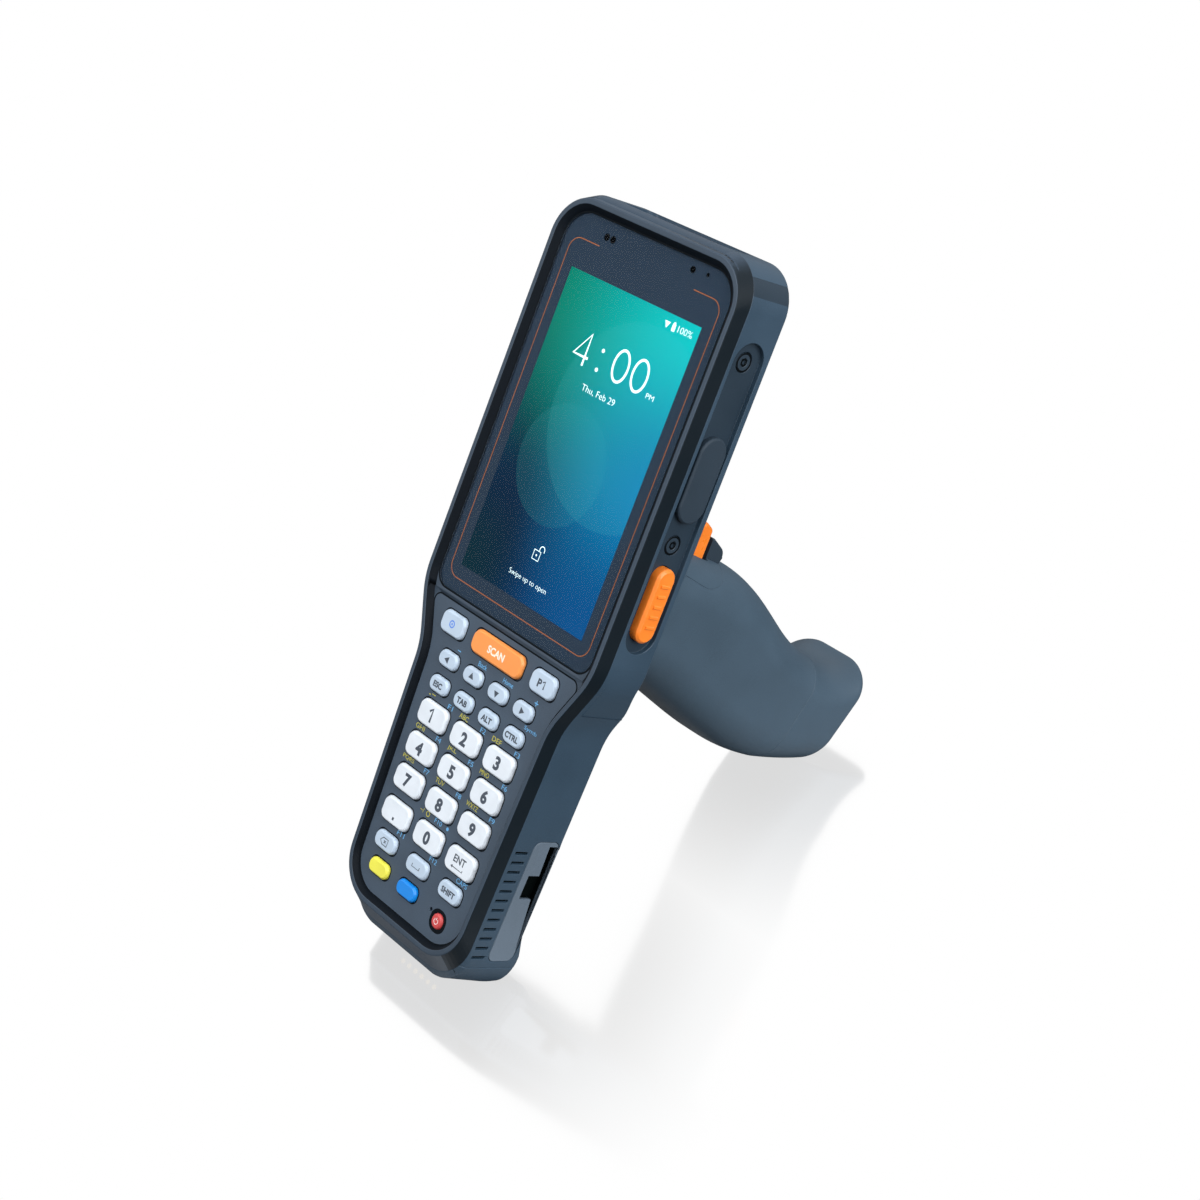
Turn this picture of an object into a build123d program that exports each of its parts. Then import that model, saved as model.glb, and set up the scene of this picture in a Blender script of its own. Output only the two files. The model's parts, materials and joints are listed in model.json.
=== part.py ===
"""Rugged hand-held data terminal: screen and keypad on a moulded body, scanner in its top end, pistol grip.

Every piece is drawn in the terminal's own axes, in millimetres: X across the screen, Y along the body towards
the scanning end, Z out of the screen, with the origin at the centre of the display. The last step leans the
terminal back until it stands on the end of its body and the heel of its grip, and puts the floor at Z = 0.
"""

import os
from math import atan, degrees

from build123d import *

# ---------------------------------------------------------------- driving dimensions, mm
# Display, cover glass and keypad levels
DISPLAY_W = 56.2
DISPLAY_L = 93.6
GLASS_T = 0.7
PLATE_TOP = 0.4
PLATE_T = 1.6
SEAT_GAP = 0.1  # round glass, plates and inserts in their pockets

# Body outline: half widths, ends and corner radii
BODY_HALF = 39.2
KEYPAD_HALF = 31.0
FOOT_HALF = 27.9
BODY_TOP = 67.0
BODY_BOTTOM = -152.3
WAIST_TOP = -55.0
WAIST_LOW = -73.5
WAIST_R = 24.0
TOP_R = 13.0
BOTTOM_R = 14.0

# Front rim and the band down its outside
RIM_Z = 2.4
RIM_LAND = 1.6
GLASS_SLOPE = 1.9
PLATE_SLOPE = 1.3
PART_Z = -2.9
BAND_FLARE = 0.2
TOP_FLARE = 2.0
BOTTOM_FLARE = 5.0
BRIDGE_TOP = -55.4
BRIDGE_LOW = -57.4
GLASS_FOOT_R = 5.0
PLATE_TOP_R = 2.5
LEDGE = 1.6  # what glass and keypad plate rest on

# Rear housing
END_SLOPE_Z = -4.8
END_FLARE = 7.4
FOOT_FLARE = 9.0
BACK_Z = -20.5
DEEP_Z = -24.5
STEP_Y = (-56.0, -67.0)
STEP_PARTS = 8
FOOT_Z = -26.6
FOOT_Y = (-140.5, -147.0)
FOOT_R = 13.0
FOOT_BLEND_R = 4.0
BACK_BEVEL = 2.4  # round the back behind the screen
DEEP_BEVEL = 3.2  # and behind the keypad
SIDE_WALL = 4.5
HOLE_DEPTH = 10.0  # of the holes through the side wall
KEYPAD_WALL = 2.4
BACK_WALL = 2.2
TOP_SEAM_Y = 64.8
TOP_SEAM_Z = 1.0
END_SEAM_Y = -151.0

# Side recess with its screws, port and scan button
RECESS_L = 93.0
RECESS_W = 11.9
RECESS_Y = 1.5
RECESS_Z = -10.3
RECESS_DEPTH = 1.6
SIDE_SCREW_Y = (42.0, -12.4)
SIDE_SCREW_R = 2.8
SIDE_SCREW_SEAT = 0.9
SIDE_SCREW_SHANK_R = 1.2
SIDE_SCREW_L = 2.6
COVER_L = 25.6
COVER_W = 10.4
COVER_Y = 7.5
COVER_T = 2.0
COVER_LIFT = 0.1
COVER_PLUG = (7.4, 2.0, 1.0)
PORT_W = 9.0
PORT_H = 3.3
PORT_SHELL = 0.4
PORT_L = 7.4
BUTTON_L = 22.6
BUTTON_W = 7.2
BUTTON_Y = -30.0
BUTTON_PROUD = 3.0
BUTTON_FLANGE = 1.0
BUTTON_FLANGE_T = 0.9
BUTTON_TRAVEL = 0.8
RUN_GAP = 0.2  # round buttons and keys in their holes

# Low on each side: a row of slots and a pocket with an insert
SLOT_COUNT = 12
SLOT_PITCH = 3.15
SLOT_FIRST_Y = -112.6
SLOT_Z = -6.9
SLOT_L = 5.0
SLOT_W = 0.95
SLOT_DEPTH = 1.0
POCKET_Y = (-108.6, -148.6)
POCKET_Z = (-10.9, -21.3)
POCKET_DEPTH = 1.2
POCKET_R = 2.6
WINDOW_Y = (-119.9, -127.6)
WINDOW_Z = (-13.6, -18.6)
GROOVE = ((-110.2, -17.3), (-110.2, -20.7), (-144.8, -20.9), (-126.0, -18.2))
GROOVE_DEPTH = 3.0

# Inside the body
MODULE_MARGIN = 2.0
MODULE_T = 3.0
BOARD_TOP = -5.9
BOARD_T = 1.2
BOARD_GAP = 1.0  # beside the board when a side button is pressed
BOARD_HALF = BODY_HALF - SIDE_WALL - BUTTON_FLANGE_T - BUTTON_TRAVEL - BOARD_GAP
BOARD_LOW_HALF = 22.6
BOARD_Y = (44.0, -145.0)
BOARD_WAIST_Y = -62.0
MAT_GAP = 0.25  # under a key that is pressed
MAT_MARGIN = 4.0
MAT_Y = (-60.0, -146.0)
BOSS_R = 3.0
BOSS_X = 28.0
BOSS_Y = (40.0, -46.0)
FLOOR_Z = -8.6
FLOOR_T = 1.4
PAD_Y = (-80.0, -112.0, -140.0)
ENGINE_SIZE = (30.0, 17.0, 11.6)
ENGINE_Y = 55.0
ENGINE_Z = -10.4
LENS_R = 3.6
LENS_X = 7.5

# Scan window in the top cap
SCAN_W = 44.0
SCAN_H = 13.6
SCAN_R = 3.0
SCAN_Z = -10.4
SCAN_T = 2.0
SCAN_INSET = 0.8
SCAN_LEDGE = 1.5

# Battery pack and its latch
PACK_HALF = 22.6
PACK_Y = (-77.0, -145.6)
PACK_R = 4.0
PACK_GAP = 0.2
PACK_NOTCH = (13.0, 2.4)
LATCH_W = 18.0
LATCH_L = 6.4
LATCH_T = 1.8
LATCH_Y = -70.6
LATCH_TRAVEL = 2.6
LATCH_RIBS = 4
TONGUE = (10.0, 2.2, 1.2)

# Dock contacts in the bottom cap
CONTACT_COUNT = 6
CONTACT_PITCH = 3.2
CONTACT_R = 0.9
CONTACT_L = 6.0
CONTACT_Z = -10.0
CONTACT_SINK = 0.3
LAND_SHAVE = 0.05  # how far the end's flat land is cut back

# Keys: what they share
KEY_TOP = 1.65
KEY_TRAVEL = 1.0
KEY_FLANGE = 0.7
KEY_FLANGE_T = 0.6
FLANGE_GAP = 0.05
KEY_EDGE = 0.55
KEY_BEVEL = 0.8
POWER_TOP = 1.1
POWER_RING_R = 3.2
POWER_R = 2.4
POWER_SINK = 0.7
MIC_XY = (10.8, -140.9)
MIC_R = 0.6

# Key sizes (width, height, corner radius) and places
DIGIT = (13.0, 7.8, 2.6)
CORNER = (10.8, 7.0, 2.4)
SCAN = (23.4, 7.4, 2.8)
SMALL = (8.5, 5.1, 2.3)
GREY = (10.0, 5.6, 2.4)
COLOUR = (9.2, 5.0, 2.3)
COLUMN_PITCH = 16.04
DIGIT_ROW_Y = (-91.0, -101.7, -112.4, -123.2)
FOUR_PITCH = 11.9
FOUR_X = -0.2
TOP_KEYS_Y = -63.5
TOP_KEYS_X = 21.3
ARROW_Y = -73.6
CONTROL_Y = -81.8
GREY_Y = -132.7
COLOUR_Y = -140.9
YELLOW_X = -14.9
BLUE_X = -0.7
POWER_XY = (15.1, -142.6)

# Pistol grip: stations down its length, each (front Y, Z), (rear Y, Z), half width, corner radius
GRIP_STATIONS = (
    ((-13.0, -23.5), (-52.8, -23.5), 17.0, 13.0),
    ((-18.8, -43.8), (-60.1, -38.2), 16.6, 14.0),
    ((-21.7, -61.3), (-65.2, -51.3), 16.4, 14.5),
    ((-24.6, -76.2), (-69.8, -63.2), 16.2, 14.5),
    ((-35.5, -99.9), (-78.9, -86.3), 16.4, 14.0),
    ((-44.6, -115.0), (-83.6, -102.4), 16.8, 13.0),
    ((-48.4, -125.5), (-85.0, -114.1), 17.6, 12.0),
)
HEEL_STATIONS = (
    ((-50.4, -138.5), (-84.7, -125.2), 18.4, 12.5),
    ((-44.6, -152.4), (-84.0, -136.8), 18.4, 13.0),
)
GRIP_WALL = 2.4
HEEL_EDGE = 2.0
COLLAR_T = 3.0
COLLAR_FLANGE = 3.0
COLLAR_R = 6.0
FRAME_SEAM = ((-23.0, -23.5), (-26.8, -47.0), (-30.0, -59.0), (-28.0, -66.5), (-18.0, -70.5))
FRAME_SEAM_R = (24.0, 8.0, 6.0)

# Trigger
PIVOT_Y = -20.5
PIVOT_Z = -31.5
PIN_R = 1.5
PIN_L = 24.0
PIN_GAP = 0.05
TRIGGER_HALF = 7.4
TRIGGER_GAP = 0.4
TRIGGER_SIDE = (  # corners of its side view, (Y, Z) and radius: a finger hollow between two lips
    ((-14.1, -27.5), 3.4),
    ((-15.9, -45.5), 14.0),
    ((-11.4, -56.5), 1.8),
    ((-13.4, -60.1), 1.5),
    ((-24.7, -60.1), 1.5),
    ((-26.5, -41.5), 6.0),
    ((-24.3, -27.5), 3.4),
)
TRIGGER_BEVEL = 0.8
SPRING_R = 3.2
SPRING_WIRE = 0.5
SPRING_TURNS = 3
SPRING_PITCH = 1.5
SWITCH_SIZE = (10.0, 5.0, 9.0)
SWITCH_Y = -31.6
SWITCH_Z = -52.0
SLOT_BOTTOM = -61.8
GUARD_TOP = (-16.2, -63.0)
GUARD_LOW = (-19.6, -69.2)
GUARD_HALF = 6.6
GUARD_EDGE = 1.6

# Screws through the collar into the body
SCREW_HEAD_R = 2.4
SCREW_HEAD_T = 1.6
SCREW_R = 1.25
SCREW_L = 4.4
SCREW_X = 16.6
SCREW_Y = (-17.0, -51.0)

# Settling onto the floor
START_LEAN = 59.0
LEAN_STEPS = 5

BIG = 200.0  # past every surface
TINY = 0.01


# ---------------------------------------------------------------- shared helpers
def slab(x0, x1, y0, y1, z0, z1):
    """An axis-aligned block between two corners."""
    size = (abs(x1 - x0), abs(y1 - y0), abs(z1 - z0))
    return Pos((x0 + x1) / 2, (y0 + y1) / 2, (z0 + z1) / 2) * Box(*size)


def one(shape):
    """The shape as one plain solid."""
    return shape.solids().sort_by(SortBy.VOLUME)[-1]


def outline(z, flare=0.0, top=0.0, bottom=0.0):
    """The body's plan at a height, wider by flare and longer by top and bottom."""
    right = [
        (BODY_HALF + flare, BODY_TOP + top),
        (BODY_HALF + flare, WAIST_TOP),
        (KEYPAD_HALF + flare, WAIST_LOW),
        (FOOT_HALF + flare, BODY_BOTTOM - bottom),
    ]
    radii = [TOP_R, WAIST_R, WAIST_R, BOTTOM_R]
    points = right + [(-x, y) for x, y in reversed(right)]
    edge = FilletPolyline(*points, radius=radii + radii[::-1], close=True)
    return Pos(0, 0, z) * make_face(edge)


def inset(face, distance):
    """The face drawn in by a distance all round."""
    return offset(face, -distance)


def prism(face, height):
    """The face pushed up, or down where the height is negative."""
    return extrude(face, amount=abs(height), dir=(0, 0, 1 if height > 0 else -1))


def profile(points, radii, half, x0=0.0):
    """A closed outline in the Y-Z plane, made as thick as twice half, across X."""
    edge = FilletPolyline(*points, radius=radii, close=True)
    face = Plane.YZ * make_face(edge)
    return Pos(x0, 0, 0) * extrude(face, amount=half, both=True)


def both_sides(shape):
    """The shape and its mirror image on the left."""
    return shape + mirror(shape, about=Plane.YZ)


def side_plane(x, y, z):
    """A drawing plane on the right side: its X runs along the body and its Z points outwards."""
    return Plane(origin=(x, y, z), x_dir=(0, 1, 0), z_dir=(1, 0, 0))


def keypad_side():
    """The tapering side of the keypad half: half width at the waist, and its fall for a millimetre down."""
    fall = (KEYPAD_HALF - FOOT_HALF) / (WAIST_LOW - BODY_BOTTOM + END_FLARE)
    return KEYPAD_HALF + BAND_FLARE, fall


def low_side_plane(y, z):
    """A drawing plane on the tapered right side beside the keypad."""
    half, fall = keypad_side()
    x = half - fall * (WAIST_LOW - y)
    return Plane(origin=(x, y, z), x_dir=(fall, 1, 0), z_dir=(1, -fall, 0))


# ---------------------------------------------------------------- body shells
def rim_face():
    return outline(RIM_Z)


def band_face():
    return outline(PART_Z, BAND_FLARE, TOP_FLARE, BOTTOM_FLARE)


def end_face(z=END_SLOPE_Z):
    return outline(z, BAND_FLARE, TOP_FLARE, END_FLARE)


def foot_face(z):
    return outline(z, BAND_FLARE, TOP_FLARE, FOOT_FLARE)


def funnel(floor_z, slope):
    """The sloping inside of the rim, from the land down to a floor."""
    top = inset(rim_face(), RIM_LAND)
    low = Pos(0, 0, floor_z - RIM_Z) * inset(rim_face(), RIM_LAND + slope)
    return loft([low, top], ruled=True)


def rounded(face, radius):
    """The face with each outward corner rounded to at least a radius."""
    return offset(offset(face, -radius), radius)


def inside_rim(slope, gap, y0, y1, radius):
    """What the rim encloses at Z = 0 between two Y values, less a gap all round."""
    face = Pos(0, 0, -RIM_Z) * inset(rim_face(), RIM_LAND + slope + gap)
    between = Pos(0, (y0 + y1) / 2) * Rectangle(BIG, y1 - y0 - 2 * gap)
    return rounded(face & between, radius)


def glass_face(gap=0.0):
    """The cover glass's outline at Z = 0."""
    return inside_rim(GLASS_SLOPE, gap, BRIDGE_TOP, BODY_TOP, GLASS_FOOT_R)


def plate_face(gap=0.0):
    """The keypad plate's outline at Z = 0."""
    return inside_rim(PLATE_SLOPE, gap, BODY_BOTTOM, BRIDGE_LOW, PLATE_TOP_R)


def front_block():
    return loft([band_face(), rim_face()], ruled=True)


def top_cap_zone():
    """The space that belongs to the top cap."""
    return slab(-BIG, BIG, TOP_SEAM_Y, BIG, -BIG, TOP_SEAM_Z)


def front_housing():
    body = front_block()
    middle = (BRIDGE_TOP + BRIDGE_LOW) / 2
    body -= funnel(GLASS_T, GLASS_SLOPE) & slab(-BIG, BIG, middle, BIG, 0, BIG)
    body -= funnel(PLATE_TOP, PLATE_SLOPE) & slab(-BIG, BIG, -BIG, middle, 0, BIG)
    body -= prism(glass_face(), RIM_Z)
    plate_floor = PLATE_TOP - PLATE_T
    body -= prism(Pos(0, 0, plate_floor) * plate_face(), RIM_Z - plate_floor)
    body -= prism(Pos(0, 0, PART_Z) * inset(glass_face(), LEDGE), BIG)
    body -= prism(Pos(0, 0, PART_Z) * inset(plate_face(), LEDGE), BIG)
    return one(body - top_cap_zone())


def side_profile():
    """The side view behind the keypad: a deep back that ends in a foot."""
    top = STEP_Y[0]
    bottom = BODY_BOTTOM - FOOT_FLARE
    points = [
        (top, PART_Z),
        (top, DEEP_Z),
        (FOOT_Y[0], DEEP_Z),
        (FOOT_Y[1], FOOT_Z),
        (bottom, FOOT_Z),
        (bottom, PART_Z),
    ]
    radii = [0, 0, FOOT_BLEND_R, FOOT_BLEND_R, FOOT_R, 0]
    return profile(points, radii, BODY_HALF + BAND_FLARE + 1)


def bevelled(face_at, back_z, bevel):
    """A block from the end face down to a back, with a bevel all round the back."""
    edge = face_at(back_z + bevel)
    back = Pos(0, 0, -bevel) * inset(edge, bevel)
    return loft([edge, end_face()], ruled=True) + loft([back, edge], ruled=True)


def half_at(face, y):
    """How far a face at Z = 0 reaches from the middle line at a Y value."""
    strip = face & Pos(0, y) * Rectangle(BIG, TINY)
    return strip.bounding_box().max.X


def step_section(share):
    """The cross-section part way along the step from the shallow back to the deep one."""
    y = STEP_Y[0] + share * (STEP_Y[1] - STEP_Y[0])
    ease = share * share * (3 - 2 * share)
    back = BACK_Z + ease * (DEEP_Z - BACK_Z)
    bevel = BACK_BEVEL + ease * (DEEP_BEVEL - BACK_BEVEL)
    side = half_at(end_face(0), y)
    flat = half_at(inset(end_face(0), bevel), y)
    right = [(side, END_SLOPE_Z), (side, back + bevel), (flat, back)]
    left = [(-x, z) for x, z in reversed(right)]
    at = Plane(origin=(0, y, 0), x_dir=(1, 0, 0), z_dir=(0, -1, 0))
    return at * make_face(Polyline(*right, *left, close=True))


def foot_ramp():
    """What the bevel cuts off on the right while the back runs down to the foot."""
    side = half_at(foot_face(0), FOOT_Y[0])
    _, fall = keypad_side()
    run = FOOT_Y[1] - FOOT_Y[0]
    along = Vector(fall * run, run, FOOT_Z - DEEP_Z)
    outward = Vector(1, 0, 1).cross(along)
    at = Plane(origin=(side, FOOT_Y[0], DEEP_Z + DEEP_BEVEL), x_dir=along, z_dir=outward)
    return extrude(at * Rectangle(BIG, BIG), amount=BIG)


def rear_block():
    """The whole outside behind the parting line."""
    shallow = bevelled(end_face, BACK_Z, BACK_BEVEL) & slab(-BIG, BIG, STEP_Y[0], BIG, -BIG, BIG)
    step = loft([step_section(i / STEP_PARTS) for i in range(STEP_PARTS + 1)], ruled=True)
    deep = bevelled(foot_face, DEEP_Z, DEEP_BEVEL) & slab(-BIG, BIG, FOOT_Y[0], STEP_Y[1], -BIG, BIG)
    foot = bevelled(foot_face, FOOT_Z, DEEP_BEVEL) & slab(-BIG, BIG, -BIG, FOOT_Y[0], -BIG, BIG)
    foot -= both_sides(foot_ramp())
    lower = (deep + foot) & side_profile()
    return one(loft([end_face(), band_face()], ruled=True) + shallow + step + lower)


def cavity(distance, y0, y1, z0, z1):
    """A room inside the body that keeps a wall of the given thickness to the outline."""
    face = Pos(0, 0, z0 - RIM_Z) * inset(rim_face(), distance - BAND_FLARE)
    return prism(face, z1 - z0) & slab(-BIG, BIG, y0, y1, -BIG, BIG)


def recess():
    floor = BODY_HALF + BAND_FLARE - RECESS_DEPTH
    sketch = side_plane(floor, RECESS_Y, RECESS_Z) * SlotOverall(RECESS_L, RECESS_W)
    return extrude(sketch, amount=2 * RECESS_DEPTH)


def recess_floor():
    return BODY_HALF + BAND_FLARE - RECESS_DEPTH


def side_screw_holes():
    holes = None
    for y in SIDE_SCREW_Y:
        at = side_plane(recess_floor(), y, RECESS_Z)
        hole = extrude(at * Circle(SIDE_SCREW_R + RUN_GAP), amount=-SIDE_SCREW_SEAT)
        hole += extrude(at * Circle(SIDE_SCREW_SHANK_R), amount=-HOLE_DEPTH)
        holes = hole if holes is None else holes + hole
    return holes


def button_hole():
    at = side_plane(recess_floor(), BUTTON_Y, RECESS_Z)
    return extrude(at * SlotOverall(BUTTON_L + 2 * RUN_GAP, BUTTON_W + 2 * RUN_GAP), amount=-HOLE_DEPTH)


def port_hole():
    at = side_plane(recess_floor(), COVER_Y, RECESS_Z)
    width = PORT_W + 2 * PORT_SHELL
    height = PORT_H + 2 * PORT_SHELL
    return extrude(at * RectangleRounded(width, height, height / 2 - RUN_GAP), amount=-HOLE_DEPTH)


def side_slots():
    slots = None
    for i in range(SLOT_COUNT):
        y = SLOT_FIRST_Y - i * SLOT_PITCH
        slot = extrude(low_side_plane(y, SLOT_Z) * Rectangle(SLOT_W, SLOT_L), amount=SLOT_DEPTH, both=True)
        slots = slot if slots is None else slots + slot
    return slots


def low_side_patch(ys, zs, gap=0.0, radius=0.0):
    """A rectangle on the tapered side between two Y and two Z limits, drawn in by a gap."""
    at = low_side_plane((ys[0] + ys[1]) / 2, (zs[0] + zs[1]) / 2)
    width = abs(ys[0] - ys[1]) - 2 * gap
    height = abs(zs[0] - zs[1]) - 2 * gap
    return at * (RectangleRounded(width, height, radius) if radius else Rectangle(width, height))


def window_and_groove():
    """The rectangular window and the tapering groove beside it, cut into the insert and the wall behind."""
    cut = extrude(low_side_patch(WINDOW_Y, WINDOW_Z), amount=GROOVE_DEPTH, both=True)
    at = low_side_plane(*GROOVE[0])
    corners = [(y - GROOVE[0][0], z - GROOVE[0][1]) for y, z in GROOVE]
    return cut + extrude(at * make_face(Polyline(*corners, close=True)), amount=GROOVE_DEPTH, both=True)


def pocket():
    sunk = extrude(low_side_patch(POCKET_Y, POCKET_Z, 0, POCKET_R), amount=POCKET_DEPTH, both=True)
    return sunk + window_and_groove()


def pack_room():
    """The battery compartment, open at the back."""
    face = pack_face(PACK_GAP)
    return prism(Pos(0, 0, DEEP_Z - 1) * face, FLOOR_Z - FLOOR_T - DEEP_Z + 1)


def latch_room():
    """The sunk track that the latch runs in."""
    half = LATCH_W / 2 + RUN_GAP
    low = LATCH_Y - LATCH_L / 2 - RUN_GAP
    high = LATCH_Y + LATCH_L / 2 + LATCH_TRAVEL + RUN_GAP
    room = slab(-half, half, low, high, DEEP_Z - 1, DEEP_Z + LATCH_T + FLANGE_GAP)
    width, length, thick = TONGUE
    half = width / 2 + RUN_GAP
    return room + slab(-half, half, low - length - BACK_WALL, low, DEEP_Z - 1, DEEP_Z + thick + RUN_GAP)


def boss(x, y, z0, z1):
    return Pos(x, y, (z0 + z1) / 2) * Cylinder(BOSS_R, abs(z1 - z0))


def rear_housing():
    body = rear_block()
    inner = BACK_Z + BACK_WALL
    step = STEP_Y[0] + KEYPAD_WALL
    body -= cavity(SIDE_WALL, step, BIG, PART_Z, inner)
    half = SCAN_W / 2
    body -= slab(-half, half, 0, BIG, inner, PART_Z)
    body -= cavity(KEYPAD_WALL, -BIG, step, PART_Z, FLOOR_Z)
    body -= pack_room()
    body -= latch_room()
    cuts = recess() + button_hole() + side_screw_holes() + side_slots() + pocket()
    body -= both_sides(cuts)
    body -= port_hole()
    for x in (-BOSS_X, BOSS_X):
        for y in BOSS_Y:
            body += boss(x, y, inner, BOARD_TOP - BOARD_T)
    for y in PAD_Y:
        body += boss(0, y, FLOOR_Z, BOARD_TOP - BOARD_T)
    width, length, height = ENGINE_SIZE
    seat = ENGINE_Z - height / 2
    body += slab(-width / 3, width / 3, ENGINE_Y - length / 3, ENGINE_Y + length / 3, inner, seat)
    for x in (-SCREW_X, SCREW_X):
        for y in SCREW_Y:
            body -= Pos(x, y, BACK_Z) * Cylinder(SCREW_R, 4 * BACK_WALL)
    body -= slab(-BIG, BIG, TOP_SEAM_Y, BIG, -BIG, BIG)
    return one(body - slab(-BIG, BIG, -BIG, END_SEAM_Y, -BIG, BIG))


def scan_opening(grow, y0, y1):
    """A rounded hole through the top end, between two Y values."""
    at = Plane(origin=(0, y0, SCAN_Z), x_dir=(-1, 0, 0), z_dir=(0, 1, 0))
    return extrude(at * RectangleRounded(SCAN_W + 2 * grow, SCAN_H + 2 * grow, SCAN_R + grow), amount=y1 - y0)


def top_cap():
    top = BODY_TOP + TOP_FLARE
    cap = rear_block() & top_cap_zone()
    cap += front_block() & top_cap_zone()
    ledge = top - SCAN_INSET - SCAN_T
    cap -= scan_opening(0, ledge, top + 1)
    cap -= scan_opening(-SCAN_LEDGE, TOP_SEAM_Y - 1, ledge + 1)
    return one(cap)


def scan_window():
    ledge = BODY_TOP + TOP_FLARE - SCAN_INSET - SCAN_T
    return one(scan_opening(-SEAT_GAP, ledge, ledge + SCAN_T))


def scan_engine():
    """The scanning module: a block with an aiming lens and a camera lens in its front face."""
    width, length, height = ENGINE_SIZE
    block = Pos(0, ENGINE_Y, ENGINE_Z) * Box(width, length, height)
    front = ENGINE_Y + length / 2
    for x, radius in ((-LENS_X, LENS_R), (LENS_X, LENS_R / 2)):
        at = Plane(origin=(x, front, ENGINE_Z), z_dir=(0, 1, 0))
        block += extrude(at * Circle(radius), amount=SCAN_LEDGE)
        block -= extrude(at * Circle(radius / 2), amount=2 * SCAN_LEDGE)
    return one(block)


def contact_places():
    first = -CONTACT_PITCH * (CONTACT_COUNT - 1) / 2
    return [first + i * CONTACT_PITCH for i in range(CONTACT_COUNT)]


def end_land():
    """The plane of the sloping end's flat land, at the middle of the dock contacts."""
    fall = (FOOT_FLARE - END_FLARE) / (END_SLOPE_Z - FOOT_Z - DEEP_BEVEL)
    y = BODY_BOTTOM - END_FLARE - fall * (END_SLOPE_Z - CONTACT_Z) + LAND_SHAVE
    return Plane(origin=(0, y, CONTACT_Z), x_dir=(1, 0, 0), z_dir=(0, -1, fall))


def contact_rod(x, sink):
    """A spring contact, or the hole for one, from a depth behind the end's land."""
    at = Plane(origin=(x, end_land().origin.Y + sink, CONTACT_Z), z_dir=(0, 1, 0))
    return extrude(at * Circle(CONTACT_R), amount=CONTACT_L)


def bottom_cap():
    cap = rear_block() & slab(-BIG, BIG, -BIG, END_SEAM_Y, -BIG, BIG)
    cap -= extrude(end_land() * Rectangle(BIG, BIG), amount=END_FLARE)
    for x in contact_places():
        cap -= contact_rod(x, CONTACT_SINK) + contact_rod(x, CONTACT_SINK - CONTACT_L / 2)
    return one(cap)


def dock_contacts():
    """The row of contacts, sunk a little in their holes."""
    return [one(contact_rod(x, CONTACT_SINK)) for x in contact_places()]


# ---------------------------------------------------------------- side pieces
def side_screws():
    """Star-socket screws in the two recesses, head in its counterbore."""
    screws = []
    for y in SIDE_SCREW_Y:
        at = side_plane(recess_floor(), y, RECESS_Z)
        head = extrude(at * Circle(SIDE_SCREW_R), amount=-SIDE_SCREW_SEAT)
        shank = extrude(at * Circle(SIDE_SCREW_SHANK_R), amount=-SIDE_SCREW_SEAT - SIDE_SCREW_L)
        socket = extrude(at * RegularPolygon(SIDE_SCREW_R / 2, 6), amount=-SIDE_SCREW_SEAT / 2)
        screws.append(one(head + shank - socket))
    return screws + [mirror(screw, about=Plane.YZ) for screw in screws]


def usb_port():
    """The receptacle's metal shell with its tongue, behind the opening, on a foot that meets the board."""
    front = recess_floor() - COVER_PLUG[2] - RUN_GAP
    at = side_plane(front, COVER_Y, RECESS_Z)
    outer = at * RectangleRounded(PORT_W, PORT_H, PORT_H / 2 - RUN_GAP)
    bore_w = PORT_W - 2 * PORT_SHELL
    bore_h = PORT_H - 2 * PORT_SHELL
    bore = at * RectangleRounded(bore_w, bore_h, bore_h / 2 - RUN_GAP)
    shell = extrude(outer, amount=-PORT_L) - extrude(bore, amount=2 * PORT_SHELL - PORT_L)
    shell += extrude(at * Rectangle(PORT_W - 6 * PORT_SHELL, 2 * PORT_SHELL), amount=-PORT_L)
    back = front - PORT_L
    half = PORT_W / 2 - PORT_H / 2
    top = BOARD_TOP - BOARD_T
    foot = slab(back, BOARD_HALF, COVER_Y - half, COVER_Y + half, RECESS_Z + PORT_H / 2 - PORT_SHELL, top)
    return one(shell + foot)


def port_cover():
    """The rubber flap, with a short plug that fills the mouth of the port."""
    at = side_plane(recess_floor() + COVER_LIFT, COVER_Y, RECESS_Z)
    cover = extrude(at * SlotOverall(COVER_L, COVER_W), amount=COVER_T)
    rim = cover.faces().sort_by(Axis.X)[-1].edges()
    cover = chamfer(rim, SEAT_GAP * 5)
    width, height, depth = COVER_PLUG
    plug = extrude(at * RectangleRounded(width, height, height / 2 - RUN_GAP), amount=-depth)
    return one(cover + plug)


def side_button():
    at = side_plane(recess_floor() + BUTTON_PROUD, BUTTON_Y, RECESS_Z)
    inside = BODY_HALF - SIDE_WALL + BAND_FLARE - FLANGE_GAP
    depth = at.origin.X - inside
    cap = extrude(at * SlotOverall(BUTTON_L, BUTTON_W), amount=-depth)
    cap = chamfer(cap.faces().sort_by(Axis.X)[-1].edges(), KEY_BEVEL)
    low = side_plane(inside, BUTTON_Y, RECESS_Z)
    grow = 2 * BUTTON_FLANGE
    cap += extrude(low * SlotOverall(BUTTON_L + grow, BUTTON_W + grow), amount=-BUTTON_FLANGE_T)
    return one(cap)


def side_inserts():
    """The inlays in the two low side pockets."""
    plate = extrude(low_side_patch(POCKET_Y, POCKET_Z, SEAT_GAP, POCKET_R), amount=-POCKET_DEPTH)
    right = one(plate - window_and_groove())
    return [right, mirror(right, about=Plane.YZ)]


# ---------------------------------------------------------------- screen, keypad and inside
def touch_glass():
    return one(prism(glass_face(SEAT_GAP), GLASS_T))


def display_module():
    half_w = DISPLAY_W / 2 + MODULE_MARGIN
    half_l = DISPLAY_L / 2 + MODULE_MARGIN
    return one(slab(-half_w, half_w, -half_l, half_l, -MODULE_T, 0))


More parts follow.
